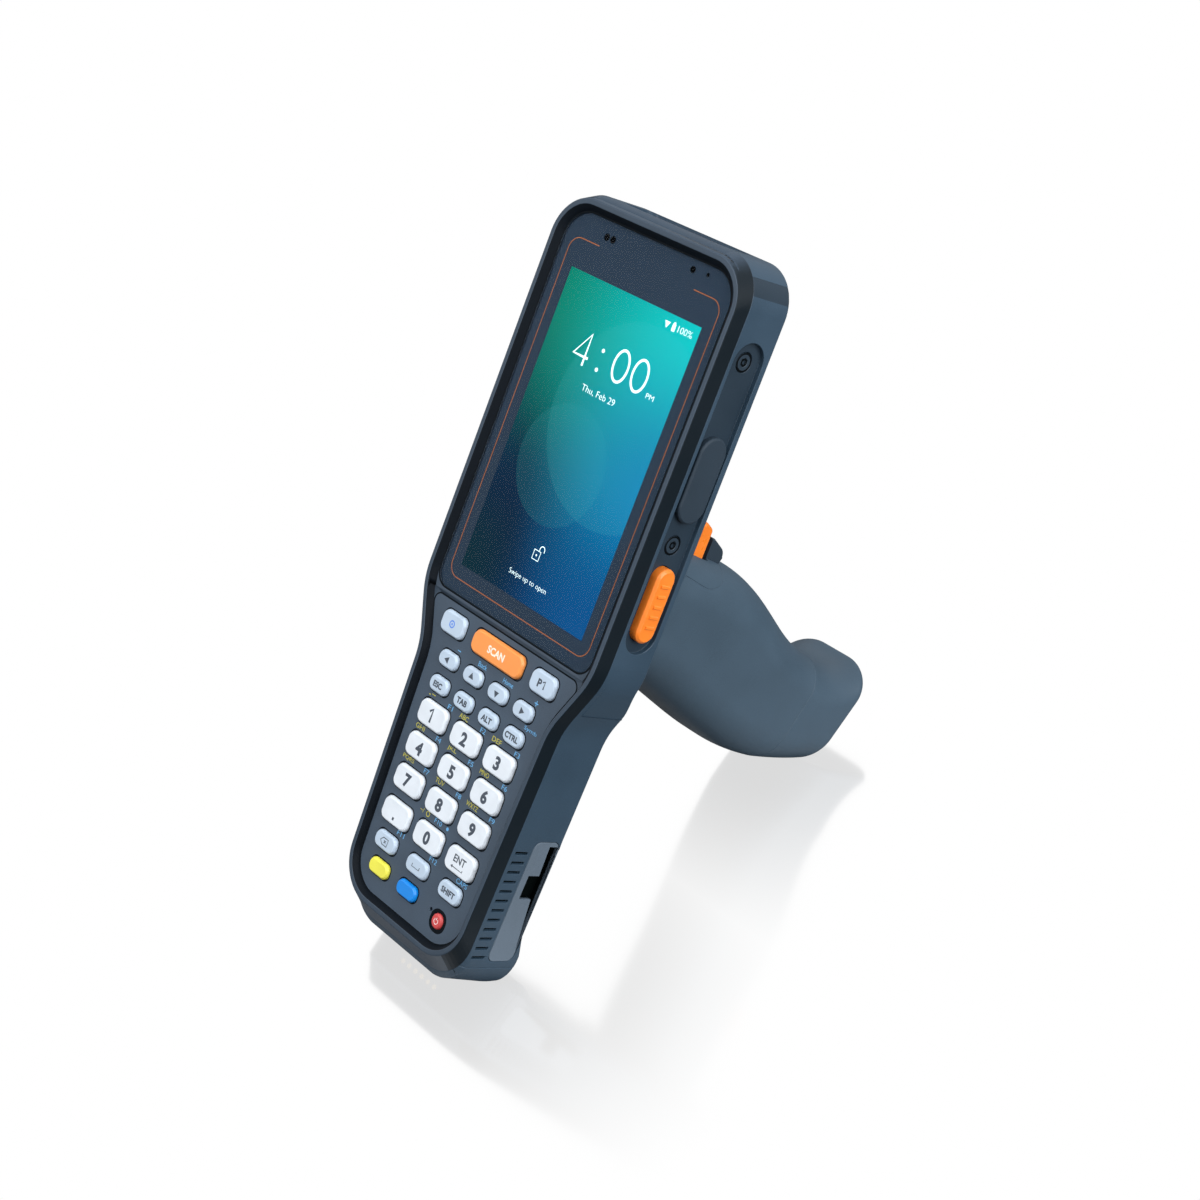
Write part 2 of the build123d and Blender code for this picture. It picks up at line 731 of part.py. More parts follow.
def keys():
    """Every key as name, x, y, width, height, corner radius, top."""
    rows = []
    digits = (
        ("key_1", "key_2", "key_3"),
        ("key_4", "key_5", "key_6"),
        ("key_7", "key_8", "key_9"),
        ("key_dot", "key_0", "key_enter"),
    )
    for y, names in zip(DIGIT_ROW_Y, digits):
        for column, name in enumerate(names):
            rows.append((name, (column - 1) * COLUMN_PITCH, y, *DIGIT, KEY_TOP))
    for y, names in (
        (ARROW_Y, ("key_left", "key_up", "key_down", "key_right")),
        (CONTROL_Y, ("key_esc", "key_tab", "key_alt", "key_ctrl")),
    ):
        for column, name in enumerate(names):
            rows.append((name, FOUR_X + (column - 1.5) * FOUR_PITCH, y, *SMALL, KEY_TOP))
    for column, name in enumerate(("key_delete", "key_space", "key_shift")):
        rows.append((name, (column - 1) * COLUMN_PITCH, GREY_Y, *GREY, KEY_TOP))
    rows.append(("key_home", -TOP_KEYS_X, TOP_KEYS_Y, *CORNER, KEY_TOP))
    rows.append(("key_scan", 0.0, TOP_KEYS_Y, *SCAN, KEY_TOP))
    rows.append(("key_program", TOP_KEYS_X, TOP_KEYS_Y, *CORNER, KEY_TOP))
    rows.append(("key_yellow", YELLOW_X, COLOUR_Y, *COLOUR, KEY_TOP))
    rows.append(("key_blue", BLUE_X, COLOUR_Y, *COLOUR, KEY_TOP))
    return rows


def key_shape(x, y, width, height, radius, top):
    """A bevelled cap through the plate, with a flange that holds it from below."""
    under = PLATE_TOP - PLATE_T - FLANGE_GAP
    low = under - KEY_FLANGE_T
    cap = prism(Pos(x, y, low) * RectangleRounded(width, height, radius), top - low)
    cap = chamfer(cap.faces().sort_by(Axis.Z)[-1].edges(), KEY_BEVEL, KEY_EDGE)
    grow = 2 * KEY_FLANGE
    wide = RectangleRounded(width + grow, height + grow, radius + KEY_FLANGE)
    return one(cap + prism(Pos(x, y, under) * wide, -KEY_FLANGE_T))


def power_key():
    x, y = POWER_XY
    under = PLATE_TOP - PLATE_T - FLANGE_GAP
    cap = prism(Pos(x, y, under - KEY_FLANGE_T) * Circle(POWER_R), POWER_TOP - under + KEY_FLANGE_T)
    cap = chamfer(cap.faces().sort_by(Axis.Z)[-1].edges(), KEY_EDGE)
    return one(cap + prism(Pos(x, y, under) * Circle(POWER_R + KEY_FLANGE), -KEY_FLANGE_T))


def keypad_plate():
    plate = prism(Pos(0, 0, PLATE_TOP - PLATE_T) * plate_face(SEAT_GAP), PLATE_T)
    for _, x, y, width, height, radius, _ in keys():
        gap = 2 * RUN_GAP
        hole = RectangleRounded(width + gap, height + gap, radius + RUN_GAP)
        plate -= prism(Pos(x, y, PLATE_TOP - PLATE_T) * hole, PLATE_T)
    x, y = POWER_XY
    plate -= prism(Pos(x, y, PLATE_TOP - POWER_SINK) * Circle(POWER_RING_R), POWER_SINK)
    plate -= prism(Pos(x, y, PLATE_TOP - PLATE_T) * Circle(POWER_R + RUN_GAP), PLATE_T)
    plate -= prism(Pos(*MIC_XY, PLATE_TOP - PLATE_T) * Circle(MIC_R), PLATE_T)
    return one(plate)


def key_mat():
    top = PLATE_TOP - PLATE_T - FLANGE_GAP - KEY_FLANGE_T - KEY_TRAVEL - MAT_GAP
    face = Pos(0, 0, top - RIM_Z) * inset(rim_face(), MAT_MARGIN + LEDGE)
    mat = prism(face, BOARD_TOP - top) & slab(-BIG, BIG, MAT_Y[1], MAT_Y[0], -BIG, BIG)
    return one(mat)


def main_board():
    z0, z1 = BOARD_TOP - BOARD_T, BOARD_TOP
    wide = slab(-BOARD_HALF, BOARD_HALF, BOARD_WAIST_Y + LEDGE * 2, BOARD_Y[0], z0, z1)
    narrow = slab(-BOARD_LOW_HALF, BOARD_LOW_HALF, BOARD_Y[1], BOARD_WAIST_Y + LEDGE * 2, z0, z1)
    return one(wide + narrow)


def pack_face(grow=0.0):
    low, high = PACK_Y[1] - grow, PACK_Y[0] + grow
    sketch = RectangleRounded(2 * (PACK_HALF + grow), high - low, PACK_R + grow)
    return Pos(0, (low + high) / 2) * sketch


def battery_pack():
    top = FLOOR_Z - FLOOR_T
    pack = prism(Pos(0, 0, DEEP_Z) * pack_face(), top - DEEP_Z)
    width, length = PACK_NOTCH
    pack -= slab(-width / 2, width / 2, PACK_Y[0] - length, BIG, DEEP_Z - 1, DEEP_Z + TONGUE[2] + RUN_GAP)
    return one(pack)


def battery_latch():
    """A ribbed slider with the tongue that holds the pack in."""
    half = LATCH_W / 2
    low, high = LATCH_Y - LATCH_L / 2, LATCH_Y + LATCH_L / 2
    latch = slab(-half, half, low, high, DEEP_Z, DEEP_Z + LATCH_T)
    width, length, thick = TONGUE
    reach = low - length - RUN_GAP
    latch += slab(-width / 2, width / 2, reach, low, DEEP_Z, DEEP_Z + thick)
    pitch = LATCH_L / (LATCH_RIBS + 1)
    for i in range(LATCH_RIBS):
        y = low + (i + 1) * pitch
        rib = slab(-half + pitch, half - pitch, y - pitch / 4, y + pitch / 4, DEEP_Z - 1, DEEP_Z + pitch / 3)
        latch -= rib
    return one(latch)


# ---------------------------------------------------------------- pistol grip
def station(front, rear, half, radius, shrink=0.0):
    """A rounded section of the grip across the line from its rear point to its front point."""
    front, rear = Vector(0, *front), Vector(0, *rear)
    across = (front - rear).normalized()
    normal = Vector(1, 0, 0).cross(across)
    at = Plane(origin=(front + rear) / 2, x_dir=(1, 0, 0), z_dir=normal)
    depth = (front - rear).length
    return at * RectangleRounded(2 * (half - shrink), depth - 2 * shrink, radius - shrink)


def grip_solid(stations, shrink=0.0):
    return loft([station(*s, shrink) for s in stations])


def frame_zone():
    """The front of the grip that the trigger frame fills."""
    low, high = FRAME_SEAM[-1], FRAME_SEAM[0]
    points = [*FRAME_SEAM, (0.0, low[1]), (0.0, high[1])]
    return profile(points, [0, *FRAME_SEAM_R, 0, 0, 0], BODY_HALF)


def grip_shells():
    """The two moulded halves, hollow inside, that carry the trigger frame between them."""
    shell = grip_solid(GRIP_STATIONS) - grip_solid(GRIP_STATIONS, GRIP_WALL)
    shell -= frame_zone()
    right = one(shell & slab(0, BIG, -BIG, BIG, -BIG, 0))
    wall = GRIP_STATIONS[2][2] - GRIP_WALL / 2
    post = Plane(origin=(SWITCH_SIZE[0] / 2, SWITCH_Y, SWITCH_Z), z_dir=(1, 0, 0))
    post = extrude(post * Circle(BOSS_R / 1.5), amount=wall - SWITCH_SIZE[0] / 2)
    left = mirror(right, about=Plane.YZ)
    return one(right + post), one(left + mirror(post, about=Plane.YZ))


def collar_block(grow, radius):
    """A block on the back of the body, wider than the grip's root by grow."""
    (front, _), (rear, _), half, _ = GRIP_STATIONS[0]
    sketch = RectangleRounded(2 * (half + grow), front - rear + 2 * grow, radius)
    return prism(Pos(0, (front + rear) / 2, BACK_Z) * sketch, -COLLAR_T)


def grip_collar():
    """The plate that joins the grip to the back of the body."""
    plate = collar_block(COLLAR_FLANGE, COLLAR_R) - collar_block(-2 * GRIP_WALL, COLLAR_R)
    for x in (-SCREW_X, SCREW_X):
        for y in SCREW_Y:
            plate -= Pos(x, y, BACK_Z) * Cylinder(SCREW_R, 4 * COLLAR_T)
    return one(plate)


def heel_cap():
    cap = grip_solid((GRIP_STATIONS[-1],) + HEEL_STATIONS)
    end = cap.faces().sort_by(Axis.Z)[0]
    return one(fillet(end.edges(), HEEL_EDGE))


def trigger_slot():
    """The slot in the grip's front that the trigger swings in."""
    half = TRIGGER_HALF + TRIGGER_GAP
    return slab(-half, half, GRIP_STATIONS[0][1][0], 0, SLOT_BOTTOM, BACK_Z - 2 * COLLAR_T)


def trigger_frame():
    frame = grip_solid(GRIP_STATIONS) & frame_zone()
    frame -= trigger_slot()
    frame -= pin_rod(PIN_R, PIN_L)
    frame -= guard_blank()
    return one(frame)


def pin_rod(radius, length):
    at = Plane(origin=(-length / 2, PIVOT_Y, PIVOT_Z), z_dir=(1, 0, 0))
    return extrude(at * Circle(radius), amount=length)


def trigger_pin():
    return one(pin_rod(PIN_R, PIN_L))


def trigger():
    """The lever: a finger hollow between the pivot and a hooked free end."""
    points = [point for point, _ in TRIGGER_SIDE]
    radii = [radius for _, radius in TRIGGER_SIDE]
    lever = profile(points, radii, TRIGGER_HALF)
    sides = [f for f in lever.faces() if abs(f.center().X) > TRIGGER_HALF - TINY]
    lever = chamfer([e for f in sides for e in f.edges()], TRIGGER_BEVEL)
    lever -= pin_rod(PIN_R + PIN_GAP, PIN_L)
    notch = SPRING_TURNS * SPRING_PITCH / 2 + SPRING_WIRE * 2
    room = Plane(origin=(-notch, PIVOT_Y, PIVOT_Z), z_dir=(1, 0, 0)) * Circle(SPRING_R + SPRING_WIRE * 2)
    lever -= extrude(room, amount=2 * notch) & slab(-BIG, BIG, -BIG, PIVOT_Y + SPRING_R, -BIG, BIG)
    return one(lever)


def trigger_spring():
    """The torsion spring's coils round the pivot pin."""
    length = SPRING_TURNS * SPRING_PITCH
    path = Helix(SPRING_PITCH, length, SPRING_R - 2 * SPRING_WIRE)
    wire = Plane(path @ 0, z_dir=path % 0) * RegularPolygon(SPRING_WIRE, 6)
    coil = sweep(wire, path=path, is_frenet=True)
    return one(Pos(-length / 2, PIVOT_Y, PIVOT_Z) * Rot(0, 90, 0) * coil)


def trigger_switch():
    return one(Pos(0, SWITCH_Y, SWITCH_Z) * Box(*SWITCH_SIZE))


def guard_blank():
    """The guard's outline in side view, made as wide as the guard."""
    root = FRAME_SEAM[3][0] + GRIP_WALL
    points = [(GUARD_TOP[0], SLOT_BOTTOM), GUARD_TOP, GUARD_LOW, (root, GUARD_LOW[1]), (root, SLOT_BOTTOM)]
    return profile(points, [0, GUARD_EDGE, 2 * GUARD_EDGE, 0, 0], GUARD_HALF) & frame_zone()


def trigger_guard():
    """The rubber hump below the trigger's free end that keeps the next finger off it."""
    hump = guard_blank()
    crest = [e for e in hump.edges() if e.center().Y > GUARD_LOW[0] and abs(e.center().X) > GUARD_HALF - TINY]
    return one(fillet(crest, GUARD_EDGE / 2))


def body_screws():
    screws = []
    for x in (-SCREW_X, SCREW_X):
        for y in SCREW_Y:
            top = BACK_Z - COLLAR_T
            head = Pos(x, y, top - SCREW_HEAD_T / 2) * Cylinder(SCREW_HEAD_R, SCREW_HEAD_T)
            shank = Pos(x, y, top + SCREW_L / 2) * Cylinder(SCREW_R, SCREW_L)
            screws.append(one(head + shank))
    return screws


# ---------------------------------------------------------------- assembly
def build():
    """Every node as a name and its list of solids, in the terminal's own axes."""
    right_shell, left_shell = grip_shells()
    button = side_button()
    nodes = {
        "front_housing": [front_housing()],
        "rear_housing": [rear_housing()],
        "top_cap": [top_cap()],
        "bottom_cap": [bottom_cap()],
        "scan_window": [scan_window()],
        "scan_engine": [scan_engine()],
        "touch_glass": [touch_glass()],
        "display_module": [display_module()],
        "keypad_plate": [keypad_plate()],
        "key_mat": [key_mat()],
        "main_board": [main_board()],
        "battery_pack": [battery_pack()],
        "battery_latch": [battery_latch()],
        "side_inserts": side_inserts(),
        "side_screws": side_screws(),
        "usb_port": [usb_port()],
        "port_cover": [port_cover()],
        "side_button_right": [button],
        "side_button_left": [mirror(button, about=Plane.YZ)],
        "dock_contacts": dock_contacts(),
        "trigger": [trigger()],
        "trigger_pin": [trigger_pin()],
        "trigger_spring": [trigger_spring()],
        "trigger_guard": [trigger_guard()],
        "trigger_frame": [trigger_frame()],
        "trigger_switch": [trigger_switch()],
        "grip_shell_right": [right_shell],
        "grip_shell_left": [left_shell],
        "grip_heel": [heel_cap()],
        "grip_collar": [grip_collar()],
        "body_screws": body_screws(),
        "key_power": [power_key()],
    }
    for name, *place in keys():
        nodes[name] = [key_shape(*place)]
    return nodes


def lowest(shape, lean):
    """Where the shape reaches lowest at a lean, along the floor and above it."""
    turned = Rot(lean, 0, 0) * shape
    box = turned.bounding_box()
    touching = turned & slab(-BIG, BIG, -BIG, BIG, box.min.Z - 1, box.min.Z + FLANGE_GAP)
    return touching.center().Y, box.min.Z


def resting_lean(foot, heel):
    """The angle about X at which the end of the body and the heel of the grip stand on one floor."""
    lean = START_LEAN
    for _ in range(LEAN_STEPS):
        foot_y, foot_z = lowest(foot, lean)
        heel_y, heel_z = lowest(heel, lean)
        lean += degrees(atan((heel_z - foot_z) / (foot_y - heel_y)))
    return lean


def main():
    nodes = build()
    lean = resting_lean(nodes["bottom_cap"][0], nodes["grip_heel"][0])
    standing = {name: [Rot(lean, 0, 0) * solid for solid in solids] for name, solids in nodes.items()}
    whole = Compound([solid for solids in standing.values() for solid in solids]).bounding_box()
    to_floor = Pos(-whole.center().X, -whole.center().Y, -whole.min.Z)
    os.makedirs("parts", exist_ok=True)
    for name, solids in standing.items():
        placed = [to_floor * solid for solid in solids]
        shape = placed[0] if len(placed) == 1 else Compound(placed)
        export_step(shape, f"parts/{name}.step")
    print(f"lean {lean:.4f} degrees, origin moved by {to_floor.position}")


main()
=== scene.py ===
"""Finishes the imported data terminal: moulded housings, lit screen, keys with their legends, grip, and a studio floor.

Sizes and places are in millimetres. Places are in the terminal's own axes: X across the screen, Y towards the scanning
end and Z out of the screen, from the middle of the display. OWN carries them to the frame's axes, in metres.
"""

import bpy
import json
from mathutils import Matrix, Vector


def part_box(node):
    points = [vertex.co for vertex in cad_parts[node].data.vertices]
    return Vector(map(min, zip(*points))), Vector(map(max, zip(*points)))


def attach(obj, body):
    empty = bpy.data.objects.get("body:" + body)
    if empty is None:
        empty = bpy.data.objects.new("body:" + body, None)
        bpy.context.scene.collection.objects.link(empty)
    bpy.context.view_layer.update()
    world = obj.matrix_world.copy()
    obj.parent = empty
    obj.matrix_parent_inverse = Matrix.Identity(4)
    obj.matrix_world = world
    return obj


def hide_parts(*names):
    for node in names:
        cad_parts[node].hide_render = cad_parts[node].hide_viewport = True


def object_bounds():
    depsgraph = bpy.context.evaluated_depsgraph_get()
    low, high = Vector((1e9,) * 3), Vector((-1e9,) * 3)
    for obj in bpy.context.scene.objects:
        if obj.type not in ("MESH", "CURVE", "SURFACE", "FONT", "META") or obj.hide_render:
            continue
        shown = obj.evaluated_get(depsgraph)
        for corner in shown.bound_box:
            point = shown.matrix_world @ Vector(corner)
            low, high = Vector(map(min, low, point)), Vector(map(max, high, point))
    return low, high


bl_info = {
    "name": "Handheld data terminal",
    "version": (1, 0, 0),
    "blender": (4, 5, 0),
    "location": "View3D > Sidebar > Terminal",
    "description": "Finishes a packed data terminal with its housings, screen, keys, grip and studio",
    "category": "Object",
}

import json
import math

import bmesh
import bpy
from mathutils import Matrix, Vector

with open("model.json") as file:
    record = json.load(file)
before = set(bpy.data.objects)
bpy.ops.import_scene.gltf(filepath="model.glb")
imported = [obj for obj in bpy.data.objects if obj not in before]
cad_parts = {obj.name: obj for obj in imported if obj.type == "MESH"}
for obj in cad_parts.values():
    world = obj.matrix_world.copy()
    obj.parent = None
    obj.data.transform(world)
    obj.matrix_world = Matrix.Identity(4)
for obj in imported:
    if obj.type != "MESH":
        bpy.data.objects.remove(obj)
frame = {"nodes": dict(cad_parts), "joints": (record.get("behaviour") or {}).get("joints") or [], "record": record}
CAD_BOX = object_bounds()

MM = 0.001
MODULE_THICK = 3.0
PRINT_THICK = 0.03
PRINT_RAISE = 0.015
# Near-black strips laid in seams and round holes are painted shade.
SHADE_STRIP_THICK = 0.06
SEAM_SHADE_BLACK = (0.003, 0.005, 0.007)
SLOTS = {part["node"]: part["material_slot"] for part in frame["record"]["subparts"]}
BODIES = {node: body for body, nodes in frame["record"]["behaviour"]["bodies"].items() for node in nodes}


# ---- axes
def own_axes():
    """The matrix from the terminal's own axes, in millimetres, to the frame's, in metres."""
    joints = {joint["name"]: joint for joint in frame["joints"]}
    along = Vector(joints["battery_latch_slide"]["axis"])
    outward = -Vector(joints["key_enter_press"]["axis"])
    turn = Matrix((along.cross(outward), along, outward)).transposed()
    low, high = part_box("display_module")
    middle = (low + high) / 2 + outward * MODULE_THICK / 2 * MM
    return Matrix.Translation(middle) @ turn.to_4x4() @ Matrix.Scale(MM, 4)


OWN = own_axes()


def corners(points):
    """The lowest and highest corners of the box round some points."""
    low = Vector([min(point[i] for point in points) for i in range(3)])
    high = Vector([max(point[i] for point in points) for i in range(3)])
    return low, high


def own_box(node):
    """A node's lowest and highest corners in the terminal's own axes."""
    back = OWN.inverted()
    return corners([back @ vertex.co for vertex in frame["nodes"][node].data.vertices])


# ---- settings
def amount(name, description, default, unit="NONE"):
    """A setting that is a size or a strength."""
    return bpy.props.FloatProperty(name=name, description=description, default=default, min=0.0, unit=unit)


def colour(name, description, default):
    """A setting that is a colour."""
    return bpy.props.FloatVectorProperty(
        name=name, description=description, default=default, subtype="COLOR", size=3, min=0.0, max=1.0
    )


class PlasticSettings(bpy.types.PropertyGroup):
    """Colours and edges of the moulded parts"""

    housing: colour("Housing", "Colour of the moulded body", (0.022, 0.044, 0.070))
    rim: colour("Rim", "Colour of the front rim", (0.030, 0.047, 0.070))
    # The flank colour is painted shade, which the rim's sideways faces fade to.
    flank_shade: colour("Band", "Colour of the dark sides of the rim", (0.002, 0.006, 0.010))
    plate: colour("Keypad plate", "Colour of the plate round the keys", (0.046, 0.068, 0.098))
    # This colour is painted shade, darker than the housing, for the long recesses.
    recess_shade: colour("Recess", "Colour of the long recesses in the sides", (0.010, 0.021, 0.034))
    # The inlays' colour is lighter than the housing as painted light.
    lit_inlay: colour("Inlay", "Colour of the inlays low on the sides", (0.085, 0.115, 0.150))
    rubber: colour("Rubber", "Colour of the port cover and the grip's guard", (0.012, 0.023, 0.036))
    signal: colour("Signal orange", "Colour of the trigger and the side buttons", (0.760, 0.190, 0.018))
    grip: colour("Grip", "Colour of the pistol grip", (0.036, 0.062, 0.090))
    edge: amount("Edge", "Width of the softened edges of the housings, in mm", 0.35)
    grain: amount("Grain", "Size of the moulded grain, in mm", 0.22)


class ScreenSettings(bpy.types.PropertyGroup):
    """The lit picture and what is printed round it"""

    width: amount("Width", "Width of the lit picture, in mm", 56.2)
    height: amount("Height", "Height of the lit picture, in mm", 93.6)
    glow: amount("Glow", "Brightness of the lit picture", 0.92)
    border: colour("Border line", "Colour of the line printed round the screen", (0.360, 0.130, 0.055))
    printing: colour("Printing", "Colour printed behind the cover glass", (0.028, 0.048, 0.078))
    words: colour("Words", "Colour of the clock and the words on the screen", (0.720, 0.930, 0.960))


class KeySettings(bpy.types.PropertyGroup):
    """Colours of the keys, and their lettering"""

    white: colour("Digit keys", "Colour of the digit keys", (0.720, 0.780, 0.850))
    grey: colour("Control keys", "Colour of the control keys", (0.480, 0.590, 0.720))
    yellow: colour("Yellow key", "Colour of the yellow shift key", (0.800, 0.760, 0.080))
    blue: colour("Blue key", "Colour of the blue shift key", (0.000, 0.230, 0.740))
    scan: colour("Scan key", "Colour of the scan key", (0.880, 0.300, 0.070))
    red: colour("Power key", "Colour of the power key", (0.560, 0.060, 0.060))
    ink: colour("Ink", "Colour of the legends on the keys", (0.045, 0.060, 0.085))
    digit_height: amount("Digit height", "Height of the digits, in mm", 4.2)
    word_height: amount("Word height", "Height of the small legends, in mm", 1.9)
    note_height: amount("Note height", "Height of the legends between the keys, in mm", 1.5)


class StageSettings(bpy.types.PropertyGroup):
    """Floor, light and camera"""

    floor: colour("Floor", "Light that the studio floor throws back", (0.080, 0.080, 0.080))
    sky: amount("Sky", "Strength of the studio's even light", 0.4)
    key: amount("Overhead lamp", "Power of the large lamp overhead", 5.0, "POWER")
    side: amount("Side lamp", "Power of the large lamp on the right", 12.0, "POWER")
    front: amount("Front lamp", "Power of the large lamp in front", 6.0, "POWER")
    lens: amount("Lens", "Focal length of the camera, in mm", 70.3, "CAMERA")


# ---- pieces
EDGE_SEGMENTS = 2
EDGE_ANGLE = 35.0
SMOOTH_ANGLE = 32.0
FACE_WEIGHT = 60
WELD = 0.002
FLAT_ANGLE = 0.05


def link_piece(name, mesh, materials, node, replaced=()):
    """Puts a finished mesh in the scene and on the body of a node."""
    piece = bpy.data.objects.new(name, mesh)
    bpy.context.scene.collection.objects.link(piece)
    for material in materials:
        mesh.materials.append(material)
    body, slot = BODIES[node], SLOTS[node]
    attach(piece, body)
    if replaced:
        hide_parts(*replaced)
    return piece


def soften(piece, width, marked=False):
    """Rounds a piece's edges, all or the marked ones, and lets its large faces keep their own normals."""
    if width:
        bevel = piece.modifiers.new("Edges", "BEVEL")
        bevel.width = width * MM
        bevel.segments = EDGE_SEGMENTS
        bevel.limit_method = "WEIGHT" if marked else "ANGLE"
        bevel.angle_limit = math.radians(EDGE_ANGLE)
        bevel.use_clamp_overlap = False
        bevel.miter_outer = "MITER_ARC"
    normals = piece.modifiers.new("Normals", "WEIGHTED_NORMAL")
    normals.keep_sharp = True
    normals.weight = FACE_WEIGHT


def smooth(mesh):
    """Shades a mesh smooth, apart from its real edges."""
    mesh.shade_smooth()
    mesh.set_sharp_from_angle(angle=math.radians(SMOOTH_ANGLE))


def node_skin(node):
    """A node's mesh as one closed skin, with its flat faces whole, in a bmesh in the frame's axes."""
    skin = bmesh.new()
    skin.from_mesh(frame["nodes"][node].data)
    bmesh.ops.remove_doubles(skin, verts=skin.verts, dist=WELD * MM)
    bmesh.ops.dissolve_limit(skin, angle_limit=math.radians(FLAT_ANGLE), verts=skin.verts, edges=skin.edges)
    return skin


def own_skin(node):
    """A node's closed skin in the terminal's own axes."""
    skin = node_skin(node)
    bmesh.ops.transform(skin, matrix=OWN.inverted(), verts=skin.verts)
    return skin


def dress(node, material, edge=0.0, accents=(), finish_of=None, soft_above=None):
    """Replaces a node with a copy of itself that has soft edges and a finish.

    finish_of picks a face's finish, 0 for the material and more for the accents, from its middle, normal and area.
    soft_above leaves the edges under that height sharp.
    """
    skin = node_skin(node)
    back = OWN.inverted()
    if accents:
        for face in skin.faces:
            normal = (back.to_3x3() @ face.normal).normalized()
            area = face.calc_area() / MM**2
            face.material_index = finish_of(back @ face.calc_center_median(), normal, area)
    if soft_above is not None:
        weight = skin.edges.layers.float.new("bevel_weight_edge")
        for line in skin.edges:
            line[weight] = float(all((back @ vertex.co).z > soft_above for vertex in line.verts))
    mesh = bpy.data.meshes.new(node + "_skin")
    skin.to_mesh(mesh)
    skin.free()
    smooth(mesh)
    piece = link_piece(node + "_finished", mesh, (material, *accents), node, [node])
    soften(piece, edge, marked=soft_above is not None)


def own_piece(name, shape, material, node, replaced=()):
    """Turns a bmesh made in the terminal's own axes into a piece that belongs to a node."""
    bmesh.ops.transform(shape, matrix=OWN, verts=shape.verts)
    mesh = bpy.data.meshes.new(name)
    shape.to_mesh(mesh)
    shape.free()
    smooth(mesh)
    link_piece(name, mesh, (material,), node, replaced)


# ---- shapes
LEVEL_WITHIN = 0.01
WALL_SLOPE = 0.9


def curve_mesh(curve):
    """A curve or a text made into a mesh. The curve is used up."""
    holder = bpy.data.objects.new("holder", curve)
    mesh = bpy.data.meshes.new_from_object(holder)
    bpy.data.objects.remove(holder)
    bpy.data.curves.remove(curve)
    return mesh


def add_mesh(shape, mesh, place):
    """Adds a mesh to a bmesh, moved by a matrix. The mesh is used up."""
    mesh.transform(place)
    shape.from_mesh(mesh)
    bpy.data.meshes.remove(mesh)


def stroke(shape, points, width, z, closed=False, thick=PRINT_THICK):
    """Adds a flat line of a width, through points in the screen's plane."""
    curve = bpy.data.curves.new("stroke", "CURVE")
    curve.dimensions = "3D"
    line = curve.splines.new("POLY")
    line.points.add(len(points) - 1)
    for point, (x, y) in zip(line.points, points):
        point.co = (x, y, 0, 1)
    line.use_cyclic_u = closed
    curve.bevel_depth = width / 2
    curve.bevel_resolution = 1
    curve.use_fill_caps = not closed
    flat = Matrix.Diagonal((1, 1, thick / width, 1))
    add_mesh(shape, curve_mesh(curve), Matrix.Translation((0, 0, z)) @ flat)


def words(shape, text, place, height, width=None, weight=0.0):
    """Adds raised words, centred on a place, as high and wide as asked."""
    curve = bpy.data.curves.new("words", "FONT")
    curve.body = text
    curve.offset = weight
    curve.extrude = 0.5
    curve.resolution_u = 4
    mesh = curve_mesh(curve)
    low, high = corners([vertex.co for vertex in mesh.vertices])
    tall = height / (high - low).y
    wide = width / (high - low).x if width else tall
    fit = Matrix.Diagonal((wide, tall, PRINT_THICK, 1)) @ Matrix.Translation(-(low + high) / 2)
    add_mesh(shape, mesh, Matrix.Translation(place) @ fit)


def disc(shape, x, y, z, radius, sides=32, turn=0.0):
    """Adds a flat disc, or a polygon with few sides, turned by some degrees."""
    place = Matrix.Translation((x, y, z)) @ Matrix.Rotation(math.radians(turn), 4, "Z")
    bmesh.ops.create_cone(
        shape, cap_ends=True, segments=sides, radius1=radius, radius2=radius, depth=PRINT_THICK, matrix=place
    )


def block(shape, x, y, z, width, height, thick=PRINT_THICK):
    """Adds a block centred on a place."""
    place = Matrix.Translation((x, y, z)) @ Matrix.Diagonal((width, height, thick, 1))
    bmesh.ops.create_cube(shape, size=1.0, matrix=place)


def arc(x, y, radius, start, end, steps=10):
    """Points along an arc, angles in degrees."""
    angles = [math.radians(start + (end - start) * i / steps) for i in range(steps + 1)]
    return [(x + radius * math.cos(a), y + radius * math.sin(a)) for a in angles]


def oval(x, y, across, up, steps=36):
    """Points round an oval, from its half width and half height."""
    angles = [math.tau * i / steps for i in range(steps)]
    return [(x + across * math.cos(a), y + up * math.sin(a)) for a in angles]


def top_outline(node):
    """The outer edge of a node's top face, in order, as (x, y) in the terminal's own axes, and its height."""
    skin = own_skin(node)
    top = max(vertex.co.z for vertex in skin.verts)
    level = {vertex for vertex in skin.verts if top - vertex.co.z < LEVEL_WITHIN}
    walls = [line for line in skin.edges if level.issuperset(line.verts)]
    walls = {line for line in walls if min(abs(face.normal.z) for face in line.link_faces) < WALL_SLOPE}
    here = min((vertex for line in walls for vertex in line.verts), key=lambda vertex: vertex.co.y)
    points = []
    while walls.intersection(here.link_edges):
        line = walls.intersection(here.link_edges).pop()
        walls.remove(line)
        here = line.other_vert(here)
        points.append((here.co.x, here.co.y))
    skin.free()
    return points, top


# ---- material nodes
def shader(name):
    """A new material, its node tree and its surface."""
    material = bpy.data.materials.new(name)
    material.use_nodes = True
    tree = material.node_tree
    return material, tree, tree.nodes["Principled BSDF"]


def own_coordinates(tree):
    """Object coordinates turned to the terminal's own axes, in mm."""
    place, turn, _ = OWN.decompose()
    source = tree.nodes.new("ShaderNodeTexCoord")
    mapping = tree.nodes.new("ShaderNodeMapping")
    mapping.vector_type = "TEXTURE"
    mapping.inputs["Location"].default_value = place
    mapping.inputs["Rotation"].default_value = turn.to_euler()
    mapping.inputs["Scale"].default_value = (MM, MM, MM)
    tree.links.new(source.outputs["Object"], mapping.inputs["Vector"])
    return mapping.outputs["Vector"]


